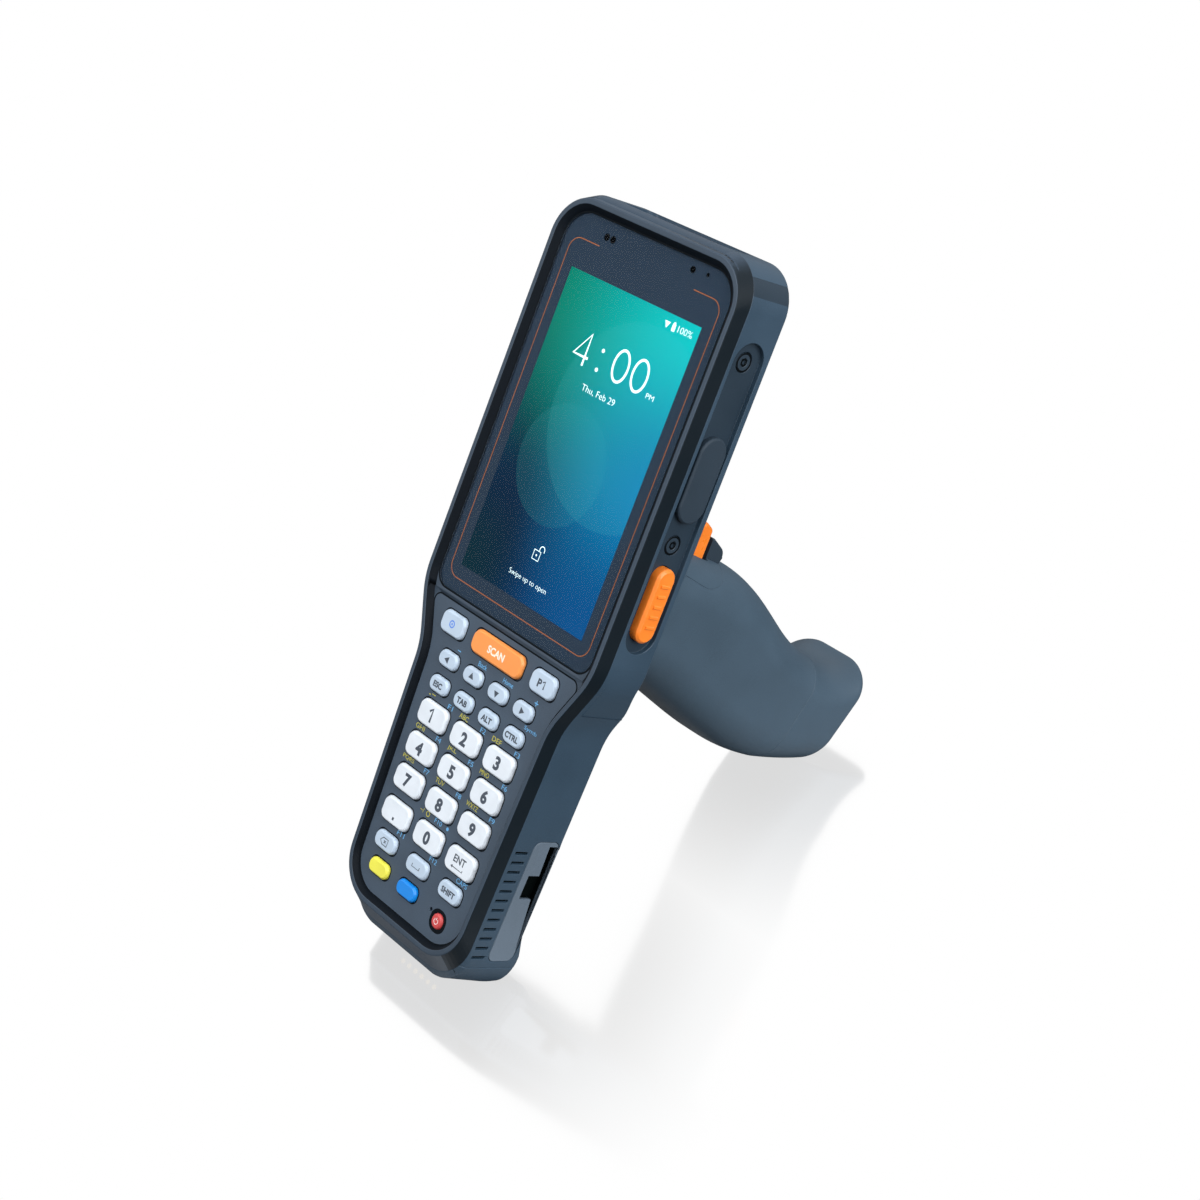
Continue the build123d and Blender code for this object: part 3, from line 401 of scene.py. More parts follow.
def noise(tree, where, size, detail=2.0):
    """Cloudy noise with features of a size in mm."""
    texture = tree.nodes.new("ShaderNodeTexNoise")
    texture.inputs["Scale"].default_value = 1 / size
    texture.inputs["Detail"].default_value = detail
    tree.links.new(where, texture.inputs["Vector"])
    return texture.outputs["Fac"]


def remap(tree, value, low, high, start=0.0, end=1.0, soft=False):
    """Maps a value from a range to start and end, evenly or with soft ends."""
    node = tree.nodes.new("ShaderNodeMapRange")
    node.interpolation_type = "SMOOTHSTEP" if soft else "LINEAR"
    node.inputs["From Min"].default_value = low
    node.inputs["From Max"].default_value = high
    node.inputs["To Min"].default_value = start
    node.inputs["To Max"].default_value = end
    tree.links.new(value, node.inputs["Value"])
    return node.outputs["Result"]


def spread(tree, value, start=0.0, end=1.0):
    """Spreads a noise, which seldom leaves its middle, from start to end."""
    return remap(tree, value, 0.3, 0.7, start, end)


def mix(tree, factor, first, second):
    """Mixes two colours, each a socket or an (r, g, b)."""
    node = tree.nodes.new("ShaderNodeMix")
    node.data_type = "RGBA"
    for socket, value in (("A", first), ("B", second)):
        place = [s for s in node.inputs if s.name == socket and s.type == "RGBA"][0]
        if isinstance(value, bpy.types.NodeSocket):
            tree.links.new(value, place)
        else:
            place.default_value = (*value, 1.0)
    tree.links.new(factor, node.inputs["Factor"])
    return [s for s in node.outputs if s.type == "RGBA"][0]


def maths(tree, operation, first, second):
    """One step of arithmetic on two values, each a socket or a number."""
    node = tree.nodes.new("ShaderNodeMath")
    node.operation = operation
    for place, value in zip(node.inputs, (first, second)):
        if isinstance(value, bpy.types.NodeSocket):
            tree.links.new(value, place)
        else:
            place.default_value = value
    return node.outputs["Value"]


def distance(tree, where, place):
    """How far each point is from a place."""
    node = tree.nodes.new("ShaderNodeVectorMath")
    node.operation = "DISTANCE"
    node.inputs[1].default_value = place
    tree.links.new(where, node.inputs[0])
    return node.outputs["Value"]


def shade(rgb, factor):
    """A colour made darker or lighter."""
    return tuple(min(1.0, value * factor) for value in rgb)


# ---- finishes
CLOUD_SIZE = 18.0
MOTTLE = 0.10
SPECK = 1.5
SPECK_SHARE = 0.35
POLISH = 0.06
RELIEF_DEPTH = 0.05
SIDEWAYS_SHADE_FADE = (0.1, 0.7)
KEY_CLOUDS = 6.0
KEY_HAZE = 1.5
KEY_DEPTH = 0.4
STREAK_SIZE = 0.5
WEAR_SIZE = 0.4
SMUDGE_SIZE = 14.0


def moulded(name, rgb, roughness=0.48, grain=0.22, relief=0.12, gloss=0.28, sideways_shade=None):
    """Plastic from a spark-eroded mould: fine grain in relief, faint clouds in colour and gloss.

    Where a flank colour is given, what faces sideways fades to it: painted shade on the flanks.
    """
    material, tree, surface = shader(name)
    surface.inputs["Specular IOR Level"].default_value = gloss
    where = own_coordinates(tree)
    clouds = noise(tree, where, CLOUD_SIZE, 4.0)
    fine = noise(tree, where, grain, 1.0)
    tint = mix(tree, spread(tree, clouds), shade(rgb, 1 - MOTTLE), shade(rgb, 1 + MOTTLE))
    tint = mix(tree, remap(tree, fine, 0.35, 0.65, 0.0, SPECK_SHARE), tint, shade(rgb, SPECK))
    # Painted shade: sideways-facing faces fade towards the flank colour.
    if sideways_shade:
        split = tree.nodes.new("ShaderNodeSeparateXYZ")
        coordinates = tree.nodes.new("ShaderNodeTexCoord")
        tree.links.new(coordinates.outputs["Normal"], split.inputs[0])
        sideways = maths(tree, "ABSOLUTE", split.outputs["X"], 0.0)
        tint = mix(tree, remap(tree, sideways, *SIDEWAYS_SHADE_FADE, soft=True), tint, sideways_shade)
    tree.links.new(tint, surface.inputs["Base Color"])
    tree.links.new(spread(tree, clouds, roughness - POLISH, roughness + POLISH), surface.inputs["Roughness"])
    bump = tree.nodes.new("ShaderNodeBump")
    bump.inputs["Strength"].default_value = relief
    bump.inputs["Distance"].default_value = RELIEF_DEPTH * MM
    tree.links.new(fine, bump.inputs["Height"])
    tree.links.new(bump.outputs["Normal"], surface.inputs["Normal"])
    return material


def plain_dark(name, rgb):
    """Dark parts inside the case."""
    return moulded(name, rgb, 0.6, 0.5, 0.05)


def key_plastic(name, rgb, roughness=0.35):
    """Hard key plastic: smooth and slightly see-through, with faint clouds."""
    material, tree, surface = shader(name)
    where = own_coordinates(tree)
    clouds = spread(tree, noise(tree, where, KEY_CLOUDS, 3.0))
    tree.links.new(mix(tree, clouds, shade(rgb, 0.95), shade(rgb, 1.04)), surface.inputs["Base Color"])
    haze = spread(tree, noise(tree, where, KEY_HAZE), roughness - 0.05, roughness + 0.07)
    tree.links.new(haze, surface.inputs["Roughness"])
    surface.inputs["Subsurface Weight"].default_value = 0.08
    surface.inputs["Subsurface Radius"].default_value = (1, 1, 1)
    surface.inputs["Subsurface Scale"].default_value = KEY_DEPTH * MM
    return material


def metal(name, rgb, roughness=0.32):
    """Turned metal: fine streaks in its gloss."""
    material, tree, surface = shader(name)
    where = own_coordinates(tree)
    streaks = spread(tree, noise(tree, where, STREAK_SIZE, 3.0), roughness - 0.1, roughness + 0.12)
    tree.links.new(streaks, surface.inputs["Roughness"])
    clouds = spread(tree, noise(tree, where, 3.0))
    tree.links.new(mix(tree, clouds, shade(rgb, 0.88), rgb), surface.inputs["Base Color"])
    surface.inputs["Metallic"].default_value = 1.0
    return material


def ink(name, rgb, glow=0.0, gloss=0.5):
    """Printed or lit marks. A glow on a printed mark is painted light."""
    material, tree, surface = shader(name)
    surface.inputs["Specular IOR Level"].default_value = gloss
    wear = spread(tree, noise(tree, own_coordinates(tree), WEAR_SIZE))
    tree.links.new(mix(tree, wear, shade(rgb, 0.9), shade(rgb, 1.05)), surface.inputs["Base Color"])
    surface.inputs["Roughness"].default_value = 0.5
    if glow:
        surface.inputs["Emission Color"].default_value = (*rgb, 1.0)
        surface.inputs["Emission Strength"].default_value = glow
    return material


def clear_glass(name, rgb=(0.02, 0.02, 0.02), alpha=0.04):
    """Clear glass that lets light straight through, with faint smudges in its gloss."""
    material, tree, surface = shader(name)
    smudges = noise(tree, own_coordinates(tree), SMUDGE_SIZE, 3.0)
    tree.links.new(spread(tree, smudges, 0.03, 0.10), surface.inputs["Roughness"])
    surface.inputs["Base Color"].default_value = (*rgb, 1.0)
    surface.inputs["Alpha"].default_value = alpha
    return material


PICTURE_FOOT = (0.001, 0.020, 0.062)
PICTURE_TOP = (0.000, 0.120, 0.130)
PICTURE_LIGHTS = (  # x, y, reach, colour
    (-24, 48, 62, (0.000, 0.230, 0.130)),
    (32, 42, 74, (0.000, 0.720, 0.720)),
    (34, -6, 56, (0.000, 0.260, 0.560)),
    (30, -50, 52, (0.000, 0.100, 0.330)),
    (-30, -46, 34, (0.001, 0.028, 0.045)),
)
PICTURE_DISCS = ((14, 12, 30, 0.07), (-4, -6, 18, 0.05))  # x, y, radius, strength
DISC_COLOUR = (0.10, 0.80, 0.85)
DISC_EDGE = 0.1


def wallpaper(name, height, glow):
    """The lit picture: a teal and blue gradient with soft lights and pale overlapping discs."""
    material, tree, surface = shader(name)
    where = own_coordinates(tree)
    split = tree.nodes.new("ShaderNodeSeparateXYZ")
    tree.links.new(where, split.inputs[0])
    up = remap(tree, split.outputs["Y"], -height / 2, height / 2)
    picture = mix(tree, remap(tree, up, 0.25, 1.0, soft=True), PICTURE_FOOT, PICTURE_TOP)
    for x, y, reach, light in PICTURE_LIGHTS:
        away = distance(tree, where, (x, y, 0.0))
        picture = mix(tree, remap(tree, away, 0.0, reach, 1.0, 0.0, soft=True), picture, light)
    for x, y, radius, strength in PICTURE_DISCS:
        away = distance(tree, where, (x, y, 0.0))
        inside = remap(tree, away, radius - DISC_EDGE, radius + DISC_EDGE, 1.0, 0.0)
        picture = mix(tree, maths(tree, "MULTIPLY", inside, strength), picture, DISC_COLOUR)
    surface.inputs["Base Color"].default_value = (0.004, 0.004, 0.004, 1.0)
    surface.inputs["Specular IOR Level"].default_value = 0.0
    tree.links.new(picture, surface.inputs["Emission Color"])
    surface.inputs["Emission Strength"].default_value = glow
    return material


# ---- operators
class TERMINAL_OT_housings(bpy.types.Operator):
    """Dresses the front and rear housings, the end caps and what is set into them"""

    bl_idname = "terminal.housings"
    bl_label = "Housings"

    RIM_EDGE = 0.3
    RIM_TOP = 2.3
    PART_Z = -2.9
    BODY_MIDDLE = -43.0
    RECESS_HALF = 38.5
    RECESS_FOOT = -50.0
    SLOTS_TOP = -108.0
    SLOTS_HALF = 29.2
    SLOTS_BACK = -21.0
    SLOT_AREA = 6.0
    CORNER_Y = -137.0
    SIDE_FALL = 0.036
    FLANK_SHADE_SLOPE = 0.6
    WALL_SLOPES = (0.1, 0.9)
    SLANTED = (0.2, 0.98)

    def execute(self, context):
        plastic = context.scene.terminal_plastic
        grain = plastic.grain
        housing = moulded("housing_plastic", plastic.housing, grain=grain)
        rim = moulded("rim_plastic", plastic.rim, grain=grain)
        # The rim's sideways faces fade to near black: painted shade.
        flank_shade = moulded("rim_flank_shade", plastic.rim, 0.5, grain, gloss=0.15, sideways_shade=plastic.flank_shade)
        # Darker long recesses: painted shade.
        recess_shade = moulded("recess_painted_shade", plastic.recess_shade, 0.5, grain)
        # Black in the slots and pockets low on the sides: painted shade.
        hollow_shade = moulded("hollow_painted_shade", (0.001, 0.002, 0.002), 0.6, 0.5, gloss=0.02)
        # The inlays are made lighter as painted light.
        lit_inlay = moulded("inlay_painted_light", plastic.lit_inlay, grain=grain)
        # Near black on the rim's inner walls: painted shade.
        inner_wall_shade = moulded("inner_wall_painted_shade", (0.003, 0.005, 0.008), 0.55, 0.3, gloss=0.08)
        dress("front_housing", rim, self.RIM_EDGE, (flank_shade, inner_wall_shade), self.rim_side, self.RIM_TOP)
        dress("top_cap", rim, self.RIM_EDGE, (flank_shade, inner_wall_shade, housing), self.cap_side, self.RIM_TOP)
        dress("rear_housing", housing, plastic.edge / 2, (recess_shade, hollow_shade), self.side_detail)
        for node in ("bottom_cap", "battery_pack"):
            dress(node, housing, plastic.edge)
        dress("battery_latch", plain_dark("latch_plastic", (0.03, 0.04, 0.05)), plastic.edge / 2)
        dress("side_inserts", lit_inlay, plastic.edge / 2)
        dress("scan_window", clear_glass("scan_glass", (0.10, 0.008, 0.012), 0.85), plastic.edge / 2)
        return {"FINISHED"}

    def rim_side(self, place, normal, area):
        """The rim's outer faces, darkening as they turn sideways as painted shade, and its inner walls, painted black
        as shade.
        """
        if normal.x * place.x + normal.y * (place.y - self.BODY_MIDDLE) > 0:
            return int(abs(normal.z) < self.FLANK_SHADE_SLOPE)
        # Inner walls take the black of painted shade.
        flattest, steepest = self.WALL_SLOPES
        return 2 if flattest < normal.z < steepest else 0

    def cap_side(self, place, normal, area):
        """The cap is as the rim in front, and as the rear housing behind."""
        return 3 if place.z < self.PART_Z else self.rim_side(place, normal, area)

    def side_detail(self, place, normal, area):
        """Painted shade: darker floors in the long recesses, and black in the slots and pockets low on the sides."""
        reach = abs(place.x)
        if place.y > self.SLOTS_TOP:
            return int(reach < self.RECESS_HALF and place.y > self.RECESS_FOOT)
        inside = reach < self.SLOTS_HALF + self.SIDE_FALL * (place.y - self.SLOTS_TOP)
        least, most = self.SLANTED
        in_slot = area < self.SLOT_AREA and not least < abs(normal.x) < most
        # Slot faces and pockets take the black of painted shade.
        hollow_shade = inside and place.z > self.SLOTS_BACK and (in_slot or place.y > self.CORNER_Y)
        return 2 if hollow_shade else 0


class TERMINAL_OT_grip(bpy.types.Operator):
    """Dresses the pistol grip, its trigger and what carries them"""

    bl_idname = "terminal.grip"
    bl_label = "Pistol grip"

    def execute(self, context):
        plastic = context.scene.terminal_plastic
        shell = moulded("grip_plastic", plastic.grip, 0.52, plastic.grain)
        rubber = moulded("guard_rubber", plastic.rubber, 0.7, 0.3)
        orange = key_plastic("trigger_plastic", plastic.signal, 0.3)
        for node in ("grip_shell_right", "grip_shell_left", "grip_heel", "grip_collar", "trigger_frame"):
            dress(node, shell, plastic.edge / 2)
        dress("trigger_guard", rubber)
        dress("trigger", orange, plastic.edge)
        steel = metal("pin_steel", (0.09, 0.095, 0.10), 0.45)
        for node in ("trigger_pin", "trigger_spring", "body_screws"):
            dress(node, steel)
        dress("trigger_switch", plain_dark("switch_plastic", (0.02, 0.02, 0.02)))
        return {"FINISHED"}


class TERMINAL_OT_side_controls(bpy.types.Operator):
    """Dresses the scan buttons, the port and its cover, and the screws in the side recesses"""

    bl_idname = "terminal.side_controls"
    bl_label = "Side controls"

    SCREW_Y = (42.0, -12.4)
    SCREW_EDGE = 0.12
    RECESS_Z = -10.3
    RING_RADII = (2.55, 0.9)
    RING_WIDTH = 0.5
    RING_RAISE = 0.01
    NUBS = 5
    NUB_PITCH = 3.1
    NUB_HALF = 1.6
    NUB_WIDTH = 1.2
    NUB_THICK = 1.0

    def execute(self, context):
        plastic = context.scene.terminal_plastic
        orange = key_plastic("button_plastic", plastic.signal, 0.35)
        for node in ("side_button_right", "side_button_left"):
            dress(node, orange, plastic.edge / 2)
        dress("port_cover", moulded("cover_rubber", plastic.rubber, 0.62, 0.3), plastic.edge / 2)
        dress("usb_port", metal("port_steel", (0.6, 0.6, 0.62)))
        screw = moulded("screw_black", (0.014, 0.026, 0.040), 0.4, gloss=0.4)
        dress("side_screws", screw, self.SCREW_EDGE)
        # Dark rings round the screws: painted shade.
        gap_shade = moulded("screw_gap_shade", (0.001, 0.002, 0.003), 0.6, gloss=0.05)
        _, high = own_box("side_screws")
        for side, name in ((1, "right"), (-1, "left")):
            self.screw_ring_shade("screw_ring_shade_" + name, side, high.x, gap_shade)
            self.nubs("side_button_" + name, side, orange)
        dress("dock_contacts", metal("contact_gold", (0.85, 0.62, 0.25), 0.2), 0.1)
        return {"FINISHED"}

    def on_side(self, shape, side, x):
        """Lays what was drawn flat against a side: across is towards the back, up stays up."""
        turn = Matrix(((0, 0, side, x * side), (0, 1, 0, 0), (-side, 0, 0, 0), (0, 0, 0, 1)))
        bmesh.ops.transform(shape, matrix=turn, verts=shape.verts)

    def screw_ring_shade(self, name, side, x, material):
        """A dark ring round each screw and round its socket: painted shade in the gaps."""
        rings = bmesh.new()
        for y in self.SCREW_Y:
            for radius in self.RING_RADII:
                ring = oval(-self.RECESS_Z * side, y, radius, radius)
                stroke(rings, ring, self.RING_WIDTH, self.RING_RAISE, closed=True, thick=SHADE_STRIP_THICK)
        self.on_side(rings, side, x)
        own_piece(name, rings, material, "side_screws")

    def nubs(self, node, side, material):
        """Short ridges across the middle of a side button."""
        low, high = own_box(node)
        middle = (low + high) / 2
        x = -middle.z * side
        ridges = bmesh.new()
        for i in range(self.NUBS):
            y = middle.y + (i - self.NUBS // 2) * self.NUB_PITCH
            ends = [(x - self.NUB_HALF, y), (x + self.NUB_HALF, y)]
            stroke(ridges, ends, self.NUB_WIDTH, 0.0, thick=self.NUB_THICK)
        self.on_side(ridges, side, max(abs(low.x), abs(high.x)))
        own_piece(node + "_nubs", ridges, material, node)


class TERMINAL_OT_screen(bpy.types.Operator):
    """Makes the cover glass, what is printed behind it and the lit picture with its clock"""

    bl_idname = "terminal.screen"
    bl_label = "Screen"

    PRINT_Z = 0.04
    PICTURE_Z = 0.07
    PICTURE_THICK = 0.02
    MARK_Z = 0.11
    GLASS_Z = 0.16
    SEAM_SHADE_WIDTH = 0.6
    SEAM_SHADE_THICK = 0.12
    BORDER_HALF = 32.2
    BORDER_TOP = 55.3
    BORDER_FOOT = -51.1
    BORDER_RADIUS = 4.0
    BORDER_GAP = 20.3
    FINE_LINE = 0.28
    SENSORS = ((-18.7, 58.5, 1.1), (-16.0, 58.5, 1.1), (17.3, 60.2, 1.0), (23.3, 60.5, 0.6))
    CLOCK_STROKE = 0.8
    CLOCK_FOUR = ((-10.2, 22.4), (-10.2, 31.8), (-15.2, 24.9), (-8.8, 24.9))
    CLOCK_DOTS = ((-4.0, 23.3), (-4.0, 29.0))
    CLOCK_DOT = 0.6
    CLOCK_NOUGHTS = ((4.6, 27.3), (12.8, 27.3))
    CLOCK_OVAL = (3.0, 4.6)
    TEXTS = (  # text, x, y, height, width, weight
        ("PM", 19.3, 23.3, 1.5, 3.2, -0.01),
        ("Thu, Feb 29", 0.2, 17.0, 2.2, 14.4, -0.012),
        ("100%", 23.0, 43.7, 1.9, 5.8, -0.012),
        ("Swipe up to open", 0.0, -40.5, 2.1, 17.0, -0.015),
    )
    LOCK_BODY = ((-1.7, -33.8), (1.1, -33.8), (1.1, -31.0), (-1.7, -31.0))

    def execute(self, context):
        screen = context.scene.terminal_screen
        self.glass("cover_glass", clear_glass("cover_clear"), max, self.GLASS_Z, ["touch_glass"])
        self.seam_shade()
        self.glass("glass_printing", ink("printed_black", screen.printing, gloss=0.0), min, self.PRINT_Z)
        self.border(screen)
        self.picture(screen)
        self.marks(screen)
        dress("display_module", plain_dark("module_black", (0.02, 0.02, 0.02)))
        return {"FINISHED"}

    def glass(self, name, material, bound, level, replaced=()):
        """The glass cut to what is over a level, bound by max, or under it, bound by min."""
        skin = own_skin("touch_glass")
        for vertex in skin.verts:
            vertex.co.z = bound(vertex.co.z, level)
        own_piece(name, skin, material, "touch_glass", replaced)

    def seam_shade(self):
        """A near-black strip between the glass and the rim: painted shade in the seam."""
        points, top = top_outline("touch_glass")
        seam_shade = bmesh.new()
        stroke(seam_shade, points, self.SEAM_SHADE_WIDTH, top, closed=True, thick=self.SEAM_SHADE_THICK)
        own_piece("glass_seam_shade", seam_shade, moulded("seam_painted_shade", SEAM_SHADE_BLACK, 0.6, gloss=0.05), "touch_glass")

    def border(self, screen):
        """The thin line round the picture, open above it, and the spots of the sensors."""
        x = self.BORDER_HALF - self.BORDER_RADIUS
        right = [(self.BORDER_GAP, self.BORDER_TOP)]
        right += arc(x, self.BORDER_TOP - self.BORDER_RADIUS, self.BORDER_RADIUS, 90, 0)
        right += arc(x, self.BORDER_FOOT + self.BORDER_RADIUS, self.BORDER_RADIUS, 0, -90)
        left = [(-x, y) for x, y in reversed(right)]
        line = bmesh.new()
        stroke(line, right + left, self.FINE_LINE, self.MARK_Z)
        # The printed border line glows faintly: painted light, so that it shows under the glass.
        own_piece("border_line", line, ink("border_orange", screen.border, 0.1, 0.0), "touch_glass")
        spots = bmesh.new()
        for x, y, radius in self.SENSORS:
            disc(spots, x, y, self.MARK_Z, radius)
        own_piece("sensor_spots", spots, ink("sensor_black", (0.002, 0.003, 0.004), gloss=0.0), "touch_glass")

    def picture(self, screen):
        """The lit picture on the display."""
        lit = bmesh.new()
        block(lit, 0, 0, self.PICTURE_Z, screen.width, screen.height, self.PICTURE_THICK)
        paper = wallpaper("lit_wallpaper", screen.height, screen.glow)
        own_piece("screen_picture", lit, paper, "display_module")

    def marks(self, screen):
        """The clock, date, status icons and padlock."""
        marks = bmesh.new()
        z = self.MARK_Z
        stroke(marks, self.CLOCK_FOUR, self.CLOCK_STROKE, z)
        for x, y in self.CLOCK_DOTS:
            disc(marks, x, y, z, self.CLOCK_DOT)
        for x, y in self.CLOCK_NOUGHTS:
            stroke(marks, oval(x, y, *self.CLOCK_OVAL), self.CLOCK_STROKE, z, closed=True)
        for text, x, y, height, width, weight in self.TEXTS:
            words(marks, text, (x, y, z), height, width, weight)
        self.status(marks, z)
        self.padlock(marks, z)
        own_piece("screen_marks", marks, ink("lit_words", screen.words, 0.8, 0.0), "display_module")

    def status(self, marks, z):
        """The signal's wedge and the battery with its cap."""
        disc(marks, 15.5, 43.9, z, 1.3, sides=3, turn=180)
        block(marks, 18.3, 43.5, z, 1.3, 2.1)
        block(marks, 18.3, 44.8, z, 0.7, 0.5)

    def padlock(self, marks, z):
        """An open padlock with its keyhole."""
        stroke(marks, self.LOCK_BODY, self.FINE_LINE, z, closed=True)
        shackle = [(0.3, -31.0)] + arc(1.3, -30.2, 1.0, 180, 0) + [(2.3, -30.8)]
        stroke(marks, shackle, self.FINE_LINE, z)
        disc(marks, -0.3, -32.4, z, 0.3)


class TERMINAL_OT_keypad(bpy.types.Operator):
    """Dresses the keypad plate and every key"""

    bl_idname = "terminal.keypad"
    bl_label = "Keypad"

    PLATE_EDGE = 0.12
    KEY_EDGE = 0.18
    PLATE_GAP_SHADE = (0.5, 0.08)
    WELL = (0.22, 0.4)
    POWER_WELL = (0.65, 1.1)
    WELL_RADIUS = 1.9
    WELL_DEPTH = 0.2

    def execute(self, context):
        plastic, keys = context.scene.terminal_plastic, context.scene.terminal_keys
        dress("keypad_plate", moulded("plate_plastic", plastic.plate, 0.5, plastic.grain), self.PLATE_EDGE)
        dress("key_mat", moulded("mat_silicone", (0.25, 0.27, 0.30), 0.6, 0.4))
        finishes = {
            "key_white": key_plastic("digit_plastic", keys.white),
            "key_grey": key_plastic("control_plastic", keys.grey),
            "orange": key_plastic("scan_plastic", keys.scan),
            "yellow": key_plastic("yellow_plastic", keys.yellow),
            "blue": key_plastic("blue_plastic", keys.blue),
            "red": key_plastic("power_plastic", keys.red),
        }
        # Near black for the seams and the key holes: painted shade.
        gap_shade = moulded("gap_painted_shade", SEAM_SHADE_BLACK, 0.6, gloss=0.05)
        self.plate_gap_shade(gap_shade)
        # Dark rings round the keys are painted shade in their holes.
        well_shades = bmesh.new()
        _, high = own_box("keypad_plate")
        for node in sorted(frame["nodes"]):
            if node.startswith("key_") and SLOTS[node] in finishes:
                dress(node, finishes[SLOTS[node]], self.KEY_EDGE)
                self.well_shade(well_shades, node, high.z)
        own_piece("key_well_shade", well_shades, gap_shade, "keypad_plate")
        return {"FINISHED"}

    def plate_gap_shade(self, material):
        """A near-black strip between the keypad plate and the rim: painted shade in the seam."""
        points, top = top_outline("keypad_plate")
        width, thick = self.PLATE_GAP_SHADE
        gap_shade = bmesh.new()
        stroke(gap_shade, points, width, top, closed=True, thick=thick)
        own_piece("plate_gap_shade", gap_shade, material, "keypad_plate")

    def well_shade(self, shape, node, z):
        """A dark ring at the edge of the hole that a key stands in, wide round the power key: painted shade."""
        skin = own_skin(node)
        low, high = corners([vertex.co for vertex in skin.verts if vertex.co.z > z - self.WELL_DEPTH])
        skin.free()
        margin, width = self.POWER_WELL if node == "key_power" else self.WELL
        radius = min((high.x - low.x) / 2, (high.y - low.y) / 2, self.WELL_RADIUS) + margin
        left, right = low.x - margin + radius, high.x + margin - radius
        foot, top = low.y - margin + radius, high.y + margin - radius
        points = []
        for x, y, start in ((right, top, 90), (right, foot, 0), (left, foot, -90), (left, top, -180)):
            points += arc(x, y, radius, start, start - 90, 6)
        stroke(shape, points, width, z, closed=True, thick=SHADE_STRIP_THICK)


